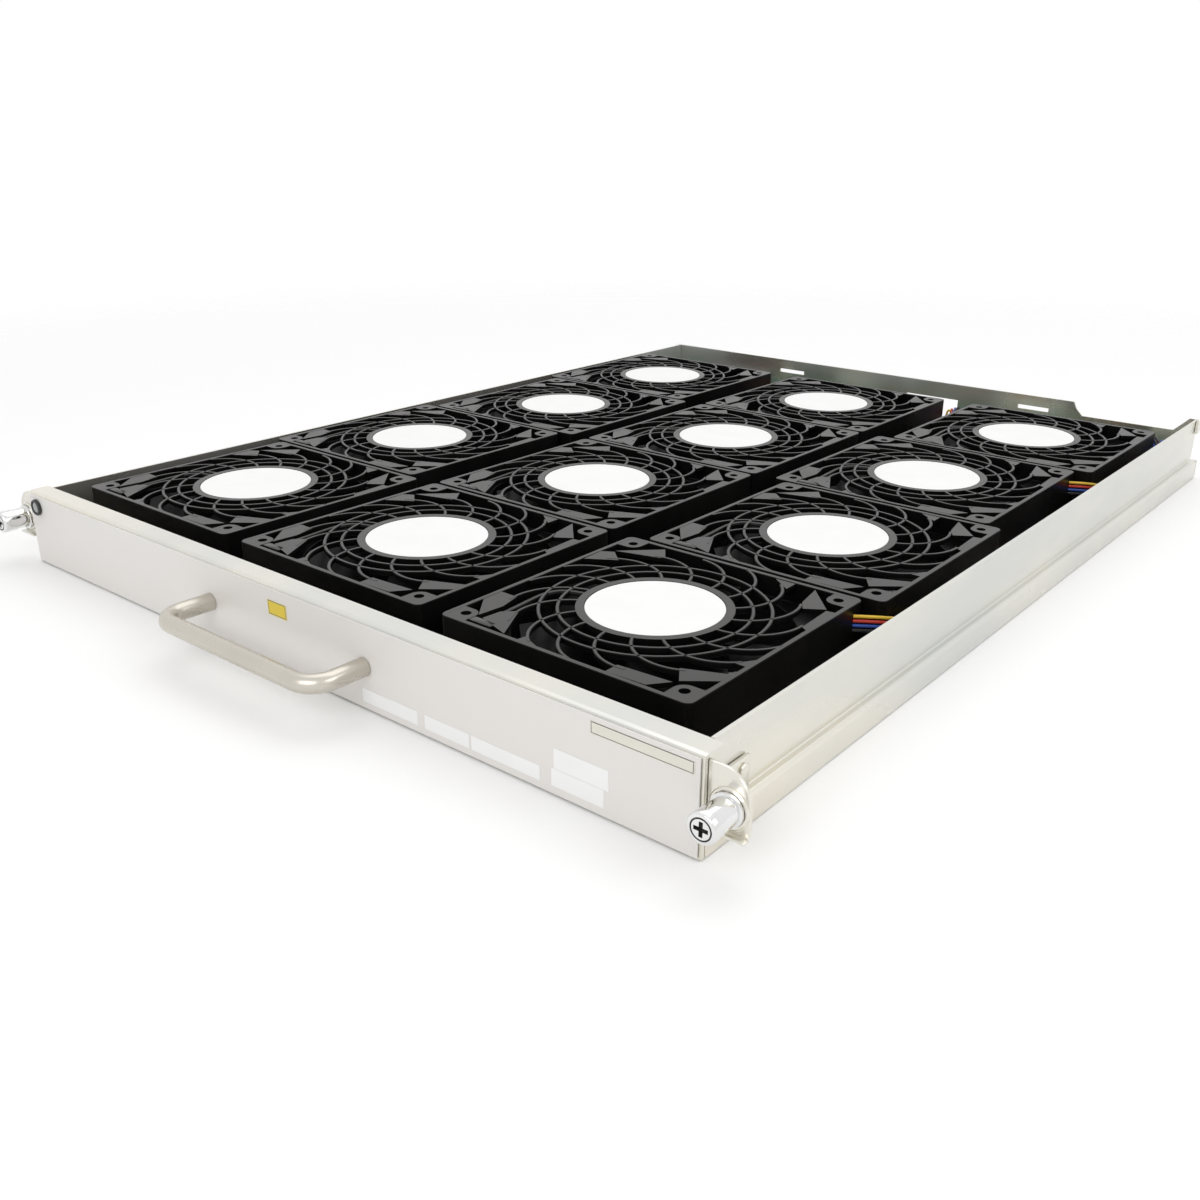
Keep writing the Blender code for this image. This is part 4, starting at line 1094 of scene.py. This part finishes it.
# Bundles along the board's front edge: from x to x, and the height along them, in millimetres
BOARD_RUNS = ((166, 108), (46, -44))
RUN_SHAPE = ((0.0, 18.0), (0.2, 14.0), (0.45, 9.0), (0.75, 6.0), (1.0, 6.5))
# Places along the right wall where a fan's leads cross to it, in millimetres
WALL_CROSSINGS = (-123, 121)


def lay_wire(name, colour, route, radius=WIRE_RADIUS, replaces=()):
    dress(wire_curve(name, route, radius, wire_sleeve(colour)), None, replaces=replaces)


def run_plug_wires(rear):
    """Four wires from each fan's plug, up and over into the gap beside the fans."""
    used = set()
    for number, (plug, gap) in enumerate(PLUG_GAPS.items()):
        low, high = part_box(plug)
        y = (low.y + high.y) / 2
        for place, colour in enumerate(WIRE_ORDER):
            x = low.x + (high.x - low.x) * (place + 0.5) / 4
            entry = gap * MM + ((number * 4 + place) % 5 - 2) * 0.9 * MM
            rise = high.z + (6 + 1.1 * place + number % 3) * MM
            route = ((x, y, high.z - 1.5 * MM), (x, y, high.z + 3 * MM), (x, y + 1.5 * MM, rise),
                     (x + (entry - x) * 0.5, y + 0.5 * MM, rise - 1 * MM),
                     (entry, rear + 1.5 * MM, rise - 4 * MM), (entry, rear - 8 * MM, 20 * MM),
                     (entry, rear - 40 * MM, (9 + place) * MM), (entry, rear - 160 * MM, (6 + place) * MM))
            replaced = () if gap in used else (GAP_LOOMS[gap],)
            used.add(gap)
            lay_wire(f"wire_{plug[-2:]}_{colour}", colour, route, replaces=replaced)


def run_lamp_wires(rear):
    """The lamp's two wires, round behind the fans and forward along the left rail."""
    low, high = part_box("lamp_plug")
    y = (low.y + high.y) / 2
    for place, colour in enumerate(("red", "black")):
        x = low.x + (high.x - low.x) * (place + 1) / 3
        gap, run = LAMP_GAP + place * 1.8 * MM, rear + (1.3 + 1.6 * place) * MM
        route = ((x, y, high.z - 1.5 * MM), (x, y, high.z + 3 * MM), (x + 8 * MM, y - MM, high.z + 5 * MM),
                 (x + 15 * MM, run, high.z + MM), (x + 10 * MM, run, high.z - 3 * MM),
                 (x - 18 * MM, run, 20 * MM), (x - 40 * MM, run, 14 * MM), (gap + 8 * MM, run, 11 * MM),
                 (gap, rear - 6 * MM, 10 * MM), (gap, rear - 30 * MM, 9 * MM), (gap, 0, 6 * MM),
                 (gap, -rear + 40 * MM, 6 * MM))
        lay_wire("lamp_wire_" + colour, colour, route, replaces=() if place else ("wire_loom_left",))


def run_board_bundles(rear):
    """Bundles that lie along the board's front edge."""
    for group, (start, end) in enumerate(BOARD_RUNS):
        for place, colour in enumerate(WIRE_ORDER):
            run, lift = rear + (1.3 + 1.6 * (place % 2)) * MM, 7.5 - 1.6 * place
            route = [((start + (end - start) * share) * MM, run, (level + lift) * MM)
                     for share, level in RUN_SHAPE]
            lay_wire(f"board_run_{group + 1}_{colour}", colour, route, radius=0.7 * MM)


def run_wall_leads():
    """Leads that leave a fan's side and cross to the right wall."""
    fan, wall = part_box("fan_frame_r1c3")[1].x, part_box("side_rail_right")[0].x
    for group, y in enumerate(WALL_CROSSINGS):
        for place, colour in enumerate(WIRE_ORDER):
            z = (35 - 2 * place) * MM
            route = ((fan - 0.3 * MM, (y - 8) * MM, z), (fan + 3 * MM, (y - 5) * MM, z - 0.3 * MM),
                     (wall - 6 * MM, (y + 2) * MM, z - MM), (wall - 2.2 * MM, (y + 14) * MM, z - 5 * MM),
                     (wall - 1.8 * MM, (y + 40) * MM, z - 12 * MM))
            lay_wire(f"wall_lead_{group + 1}_{colour}", colour, route)


class FANTRAY_OT_wires(bpy.types.Operator):
    """Run the coloured wires of the fans and of the lamp"""
    bl_idname = "fantray.wires"
    bl_label = "Fan wires"

    def execute(self, context):
        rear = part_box("fan_frame_r4c1")[1].y
        run_plug_wires(rear)
        run_lamp_wires(rear)
        run_board_bundles(rear)
        run_wall_leads()
        return {"FINISHED"}


# Board and connector


# Parts on the board, in millimetres: middles of the modules and capacitors, and chips as x, y, width, depth
MODULE_MIDDLES = (190, 146, 58, -20)
MODULE_NEAR = 257.1
CAPACITOR_SPOTS = ((33, 290), (17, 290))
PIN_HEADERS = ((8, 248.2), (22, 248.2))
CHIPS = ((167, 259, 5, 4), (161.5, 262, 5, 4), (156, 265, 6, 5), (172, 289, 4, 4), (128, 257, 6, 4),
         (122, 262, 5, 4), (46, 256, 5, 4), (40, 259, 5, 4), (35, 263, 6, 4), (30, 268, 5, 4),
         (24.5, 272, 5, 4), (19, 276, 6, 4), (2, 260, 7, 6), (-4, 268, 5, 4), (-34, 254, 5, 4),
         (-41, 258, 5, 4), (-60, 262, 6, 4), (-72, 268, 6, 4), (-86, 262, 6, 5), (-94, 266, 6, 5),
         (-100, 282, 6, 5), (-108, 286, 5, 4), (-116, 288, 5, 4), (-195, 274, 6, 5), (-190, 284, 4, 3))
# First of each group of six tinned parts
TIN_STARTS = ((170, 264), (150, 286), (118, 268), (48, 272), (-10, 284), (-50, 276), (-82, 280),
              (-176, 258), (-186, 266))
# The sticker's left, right, front and back
STICKER = (-160, -133, 244.9, 252.4)
# Fields of contacts: the columns' places, the lowest tier, the pitch, and half a contact's width and height
PIN_FIELD = ([-155 + 2.8 * column for column in range(6)], 3.9, 2.7, 0.35, 0.35)
BLADE_FIELD = ([-165.5, -160, -133.5, -128.5], 3.7, 2.8, 0.9, 0.45)
BOARD_HOLE_INSET = 5 * MM
MODULE_HALF, CASE_DEPTH, TAB_DEPTH = 9 * MM, 15 * MM, 25 * MM
CASE_HEIGHT, TAB_SHEET = 4.5 * MM, 1.3 * MM
CAN_RADIUS, CAN_HEIGHT = 3.5 * MM, 10.5 * MM


def build_circuit_board(top):
    """Green plate with soft edges and a pair of screw holes."""
    low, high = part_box("control_board")
    plate = add_block("circuit_board", low, (high.x, high.y, top))
    for x in (low.x + BOARD_HOLE_INSET, high.x - BOARD_HOLE_INSET):
        cut(plate, add_bar("board_hole", 1.6 * MM, low.z - MM, top + MM,
                           across=(x, high.y - BOARD_HOLE_INSET), sides=24))
    soften(plate, 0.3 * MM, segments=2)
    dress(plate, solder_resist(), replaces=("control_board",))


def build_plug_seats(top):
    """Black header under each plug, with a wall behind it, and the plug's white latch."""
    headers, latches = [], []
    for plug in [*PLUG_GAPS, "lamp_plug"]:
        low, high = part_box(plug)
        back = low.y + 8.2 * MM
        headers.append(add_block("header_foot", (low.x - 0.1 * MM, low.y, top),
                                 (high.x + 0.1 * MM, back, low.z - 0.2 * MM)))
        headers.append(add_block("header_wall", (low.x + 3.6 * MM, high.y + 0.2 * MM, top),
                                 (high.x - 0.2 * MM, back, top + 8.5 * MM)))
        latches.append(add_block("latch", (low.x + 0.8 * MM, high.y - 0.2 * MM, low.z + 0.6 * MM),
                                 (low.x + 3.0 * MM, back - 0.6 * MM, low.z + 4.2 * MM)))
        latches.append(add_block("latch_arm", (low.x + 0.8 * MM, high.y - 0.2 * MM, low.z + 4.0 * MM),
                                 (low.x + 3.0 * MM, high.y + MM, low.z + 10 * MM)))
    for name, parts, finish, slot in (("plug_headers", headers, black_moulding(), "black_moulding"),
                                      ("plug_latches", latches, white_nylon(), "white_nylon")):
        made = join(name, parts)
        soften(made, 0.25 * MM)
        dress(made, finish)


def build_power_module(index, x, top):
    """Flat moulded case with a plated tab whose end is round."""
    left, right, near = x * MM - MODULE_HALF, x * MM + MODULE_HALF, MODULE_NEAR * MM
    middle, far = near + CASE_DEPTH, near + TAB_DEPTH
    case = add_block(f"power_module_{index}", (left, near, top), (right, middle, top + CASE_HEIGHT))
    bpy.ops.object.mode_set(mode="EDIT")
    pick("FACE", lambda spot, normal: normal.z > 0.9)
    bpy.ops.transform.resize(value=(0.93, 0.90, 1), center_override=(x * MM, (near + middle) / 2, top))
    bpy.ops.object.mode_set(mode="OBJECT")
    soften(case, 0.5 * MM, segments=3)
    dress(case, black_moulding())
    tab = add_block(f"module_tab_{index}", (left, middle - MM, top), (right, far, top + TAB_SHEET))
    bpy.ops.object.mode_set(mode="EDIT")
    pick("EDGE", lambda spot, run: abs(run.z) > MM and spot.y > far - MM)
    bpy.ops.mesh.bevel(offset=6.5 * MM, segments=8, affect="EDGES")
    bpy.ops.object.mode_set(mode="OBJECT")
    cut(tab, add_bar("tab_hole", 1.8 * MM, top - MM, top + 3 * MM, across=(x * MM, far - 5 * MM)))
    soften(tab, 0.25 * MM)
    dress(tab, nickel_tab())


def build_capacitors(top):
    """Two standing capacitors: a dark sleeve round a can with a bright end."""
    for index, (x, y) in enumerate(CAPACITOR_SPOTS):
        can = add_bar(f"capacitor_{index + 1}", CAN_RADIUS, top, top + CAN_HEIGHT,
                      across=(x * MM, y * MM), sides=40)
        soften(can, 0.6 * MM, segments=3)
        bpy.ops.object.mode_set(mode="EDIT")
        pick("FACE", lambda spot, normal: normal.z > 0.99)
        bpy.ops.mesh.inset(thickness=0.3 * MM)
        draw_out((0, 0, -0.2 * MM))
        bpy.ops.object.mode_set(mode="OBJECT")
        dress(can, black_moulding())
        can.data.materials.append(solder_tin())
        for face in can.data.polygons:
            if face.normal.z > 0.99:
                face.material_index = 1


def add_part(name, x, y, wide, deep, top, tall):
    """A block standing on the board round a middle, in millimetres but for the board's top."""
    return add_block(name, ((x - wide / 2) * MM, (y - deep / 2) * MM, top),
                     ((x + wide / 2) * MM, (y + deep / 2) * MM, top + tall * MM))


def build_small_parts(top):
    """Chips, tinned parts and pin headers, each kind as one piece."""
    chips = [add_part("chip", x, y, wide, deep, top, 1.7) for x, y, wide, deep in CHIPS]
    tins = [add_part("tin", x, y, wide + 1, deep * 0.72, top, 0.5) for x, y, wide, deep in CHIPS]
    for x, y in TIN_STARTS:
        for step in range(6):
            row, column = divmod(step, 3)
            spot = (x - 3.2 * column, y + 3.0 * row + 0.7 * (step % 2))
            tins.append(add_part("tin", *spot, 1.8, 0.9, top, 0.7))
    for x, y in PIN_HEADERS:
        chips.append(add_part("pin_foot", x, y, 8, 4.8, top, 2.6))
        tins += [add_part("pin", x + column, y + row, 0.64, 0.64, top, 9)
                 for column in (-2.54, 0, 2.54) for row in (-1.27, 1.27)]
    for name, parts, finish in (("board_chips", chips, black_moulding()),
                                ("board_tins", tins, solder_tin())):
        made = join(name, parts)
        soften(made, 0.12 * MM, segments=1)
        dress(made, finish)


def build_stickers(top):
    """Bare two-colour sticker on the board, a bare strip on the rear panel and one behind its slot."""
    left, right, front, back = (value * MM for value in STICKER)
    half = (front + back) / 2
    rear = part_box("rear_panel")[1].y
    for name, low, high, finish in (
            ("board_sticker_yellow", (left, front, top), (right, half, top + 0.15 * MM), yellow_label()),
            ("board_sticker_white", (left, half, top), (right, back, top + 0.15 * MM), paper_label()),
            ("rear_strip", (51 * MM, rear - 0.1 * MM, 28 * MM), (82 * MM, rear + 0.06 * MM, 32.6 * MM),
             plate_label()),
            ("slot_strip", (-108.5 * MM, rear - 1.9 * MM, 11.8 * MM),
             (-85.5 * MM, rear - 1.6 * MM, 15.6 * MM), yellow_label())):
        made = add_block(name, low, high)
        soften(made, 0.04 * MM, segments=1)
        dress(made, finish)


def build_contacts():
    """Gold pins, and wider blades beside them, inside the backplane connector."""
    low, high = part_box("backplane_connector")
    back, front = high.y - 13.8 * MM, high.y - 4 * MM
    pins = []
    for columns, first, pitch, wide, tall in (PIN_FIELD, BLADE_FIELD):
        for x in columns:
            for tier in range(4):
                z = low.z + (first + tier * pitch) * MM
                pins.append(add_block("pin", ((x - wide) * MM, back, z - tall * MM),
                                      ((x + wide) * MM, front, z + tall * MM)))
    contacts = join("connector_contacts", pins)
    soften(contacts, 0.12 * MM, segments=1)
    dress(contacts, gold_contact())


class FANTRAY_OT_board(bpy.types.Operator):
    """Set the board, its headers, modules and small parts, and the connector's contacts"""
    bl_idname = "fantray.board"
    bl_label = "Board parts"

    def execute(self, context):
        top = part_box("choke")[0].z - 0.3 * MM
        build_circuit_board(top)
        build_plug_seats(top)
        for index, x in enumerate(MODULE_MIDDLES):
            build_power_module(index + 1, x, top)
        build_capacitors(top)
        build_small_parts(top)
        build_stickers(top)
        build_contacts()
        return {"FINISHED"}


class FANTRAY_OT_node_finishes(bpy.types.Operator):
    """Give every solid that still shows the finish of its material slot"""
    bl_idname = "fantray.node_finishes"
    bl_label = "Finishes"

    def execute(self, context):
        for row in frame["record"]["subparts"]:
            node = frame["nodes"][row["node"]]
            if not node.hide_render:
                node.data.materials.clear()
                node.data.materials.append(NODE_FINISHES[row["material_slot"]]())
        return {"FINISHED"}


# Stage


# Direction of the bright side of the soft light, and how far to either side it goes from dim to bright
BRIGHT_SIDE = (-0.58, 0.72, 0.38)
LIGHT_SPREAD = 0.8
FLOOR_SIZE, FLOOR_LEVEL, FLOOR_WHITE = 12, -0.4 * MM, 0.98
# Distances between which the floor fades out
FLOOR_FADE = (0.5, 1.1)
# Lamps: name, place, aim, width, height and the setting that holds the power
LAMPS = (
    ("overhead", (-0.3, 0.5, 1.5), (0, 0, 0), 1.6, 1.2, "key_power"),
    ("front_fill", (0.5, -1.5, 1.0), (0, -0.1, 0), 1.2, 0.8, "fill_power"),
    ("right_fill", (1.4, 0.2, 0.9), (0.1, 0, 0), 1.2, 0.7, "side_power"),
)


def area_lamp(name, place, aim, width, height, power):
    data = bpy.data.lights.new(name, "AREA")
    data.shape = "RECTANGLE"
    data.size = width
    data.size_y = height
    data.energy = power
    lamp = bpy.data.objects.new(name, data)
    bpy.context.scene.collection.objects.link(lamp)
    lamp.location = place
    lamp.rotation_euler = (Vector(aim) - Vector(place)).to_track_quat("-Z", "Y").to_euler()


def pale_world(front, back):
    """White to the camera, in glass and in reflections; as soft light, dim in front and bright behind."""
    world = bpy.data.worlds.new("pale_studio")
    bpy.context.scene.world = world
    world.use_nodes = True
    nodes, links = world.node_tree.nodes, world.node_tree.links
    sky, rays, place = nodes["Background"], nodes.new("ShaderNodeLightPath"), nodes.new("ShaderNodeTexCoord")
    sky.inputs["Color"].default_value = (1, 1, 1, 1)
    along, depth = nodes.new("ShaderNodeVectorMath"), nodes.new("ShaderNodeMapRange")
    along.operation = "DOT_PRODUCT"
    along.inputs[1].default_value = BRIGHT_SIDE
    links.new(place.outputs["Generated"], along.inputs[0])
    links.new(along.outputs["Value"], depth.inputs["Value"])
    for socket, value in (("From Min", -LIGHT_SPREAD), ("From Max", LIGHT_SPREAD), ("To Min", front),
                          ("To Max", back)):
        depth.inputs[socket].default_value = value
    mirrored, seen = nodes.new("ShaderNodeMath"), nodes.new("ShaderNodeMath")
    mirrored.operation = seen.operation = "MAXIMUM"
    links.new(rays.outputs["Is Glossy Ray"], mirrored.inputs[0])
    links.new(rays.outputs["Is Transmission Ray"], mirrored.inputs[1])
    links.new(rays.outputs["Is Camera Ray"], seen.inputs[0])
    links.new(mirrored.outputs[0], seen.inputs[1])
    level = nodes.new("ShaderNodeMapRange")
    level.inputs["To Max"].default_value = 1.0
    links.new(seen.outputs[0], level.inputs["Value"])
    links.new(depth.outputs["Result"], level.inputs["To Min"])
    links.new(level.outputs["Result"], sky.inputs["Strength"])


def floor_surface():
    """Pale floor that fades out into the white behind it."""
    made = bpy.data.materials.new("pale_floor")
    made.use_nodes = True
    nodes, links = made.node_tree.nodes, made.node_tree.links
    shader, place = nodes["Principled BSDF"], nodes.new("ShaderNodeTexCoord")
    shader.inputs["Base Color"].default_value = (FLOOR_WHITE, FLOOR_WHITE, FLOOR_WHITE, 1)
    shader.inputs["Roughness"].default_value = 0.8
    reach, fade = nodes.new("ShaderNodeVectorMath"), nodes.new("ShaderNodeMapRange")
    reach.operation = "LENGTH"
    fade.inputs["From Min"].default_value, fade.inputs["From Max"].default_value = FLOOR_FADE
    fade.inputs["To Min"].default_value, fade.inputs["To Max"].default_value = 1.0, 0.0
    links.new(place.outputs["Object"], reach.inputs[0])
    links.new(reach.outputs["Value"], fade.inputs["Value"])
    links.new(fade.outputs["Result"], shader.inputs["Alpha"])
    return made


def place_camera(settings):
    """Camera at the photo's viewpoint, from its place, azimuth, elevation and roll."""
    data = bpy.data.cameras.new("photo_camera")
    data.lens = settings.lens
    data.sensor_width = 36
    data.shift_x = settings.shift
    data.clip_start = 0.01
    camera = bpy.data.objects.new("photo_camera", data)
    bpy.context.scene.collection.objects.link(camera)
    turn, slope = math.radians(settings.camera_azimuth), math.radians(settings.camera_height)
    back = Vector((math.sin(turn) * math.cos(slope), -math.cos(turn) * math.cos(slope), math.sin(slope)))
    camera.location = settings.camera_place
    aim = (-back).to_track_quat("-Z", "Y").to_matrix().to_4x4()
    rolled = aim @ Matrix.Rotation(math.radians(settings.camera_roll), 4, "Z")
    camera.rotation_euler = rolled.to_euler()
    bpy.context.scene.camera = camera


class FANTRAY_OT_stage(bpy.types.Operator):
    """Lay the floor and set the lamps, the world and the camera"""
    bl_idname = "fantray.stage"
    bl_label = "Stage"

    def execute(self, context):
        settings = context.scene.stage_settings
        clear_selection()
        bpy.ops.mesh.primitive_plane_add(size=FLOOR_SIZE, location=(0, 0, FLOOR_LEVEL))
        floor = named("pale_floor")
        floor.data.materials.append(floor_surface())
        for name, place, aim, width, height, power in LAMPS:
            area_lamp(name, place, aim, width, height, getattr(settings, power))
        pale_world(settings.front_light, settings.back_light)
        place_camera(settings)
        context.scene.view_settings.view_transform = "Standard"
        return {"FINISHED"}


STEPS = (FANTRAY_OT_stage, FANTRAY_OT_guards, FANTRAY_OT_labels, FANTRAY_OT_rotors, FANTRAY_OT_rails,
         FANTRAY_OT_handle, FANTRAY_OT_front, FANTRAY_OT_screws, FANTRAY_OT_wires, FANTRAY_OT_board,
         FANTRAY_OT_node_finishes)


class FANTRAY_PT_panel(bpy.types.Panel):
    """Lists the steps that dress the tray"""
    bl_idname = "FANTRAY_PT_panel"
    bl_label = "Fan Tray"
    bl_space_type = "VIEW_3D"
    bl_region_type = "UI"
    bl_category = "Fan Tray"

    def draw(self, context):
        for step in STEPS:
            self.layout.operator(step.bl_idname)


GROUPS = (("guard_sizes", GuardSizes), ("tray_colours", TrayColours), ("stage_settings", StageSettings))


def register():
    for name, group in GROUPS:
        bpy.utils.register_class(group)
        setattr(bpy.types.Scene, name, PointerProperty(type=group))
    for step in (*STEPS, FANTRAY_PT_panel):
        bpy.utils.register_class(step)


def unregister():
    for step in reversed((*STEPS, FANTRAY_PT_panel)):
        bpy.utils.unregister_class(step)
    for name, group in reversed(GROUPS):
        delattr(bpy.types.Scene, name)
        bpy.utils.unregister_class(group)


def main():
    register()
    bpy.ops.fantray.stage()
    bpy.ops.fantray.guards()
    bpy.ops.fantray.labels()
    bpy.ops.fantray.rotors()
    bpy.ops.fantray.rails()
    bpy.ops.fantray.handle()
    bpy.ops.fantray.front()
    bpy.ops.fantray.screws()
    bpy.ops.fantray.wires()
    bpy.ops.fantray.board()
    bpy.ops.fantray.node_finishes()
    clear_selection()


if __name__ == "__main__":
    main()
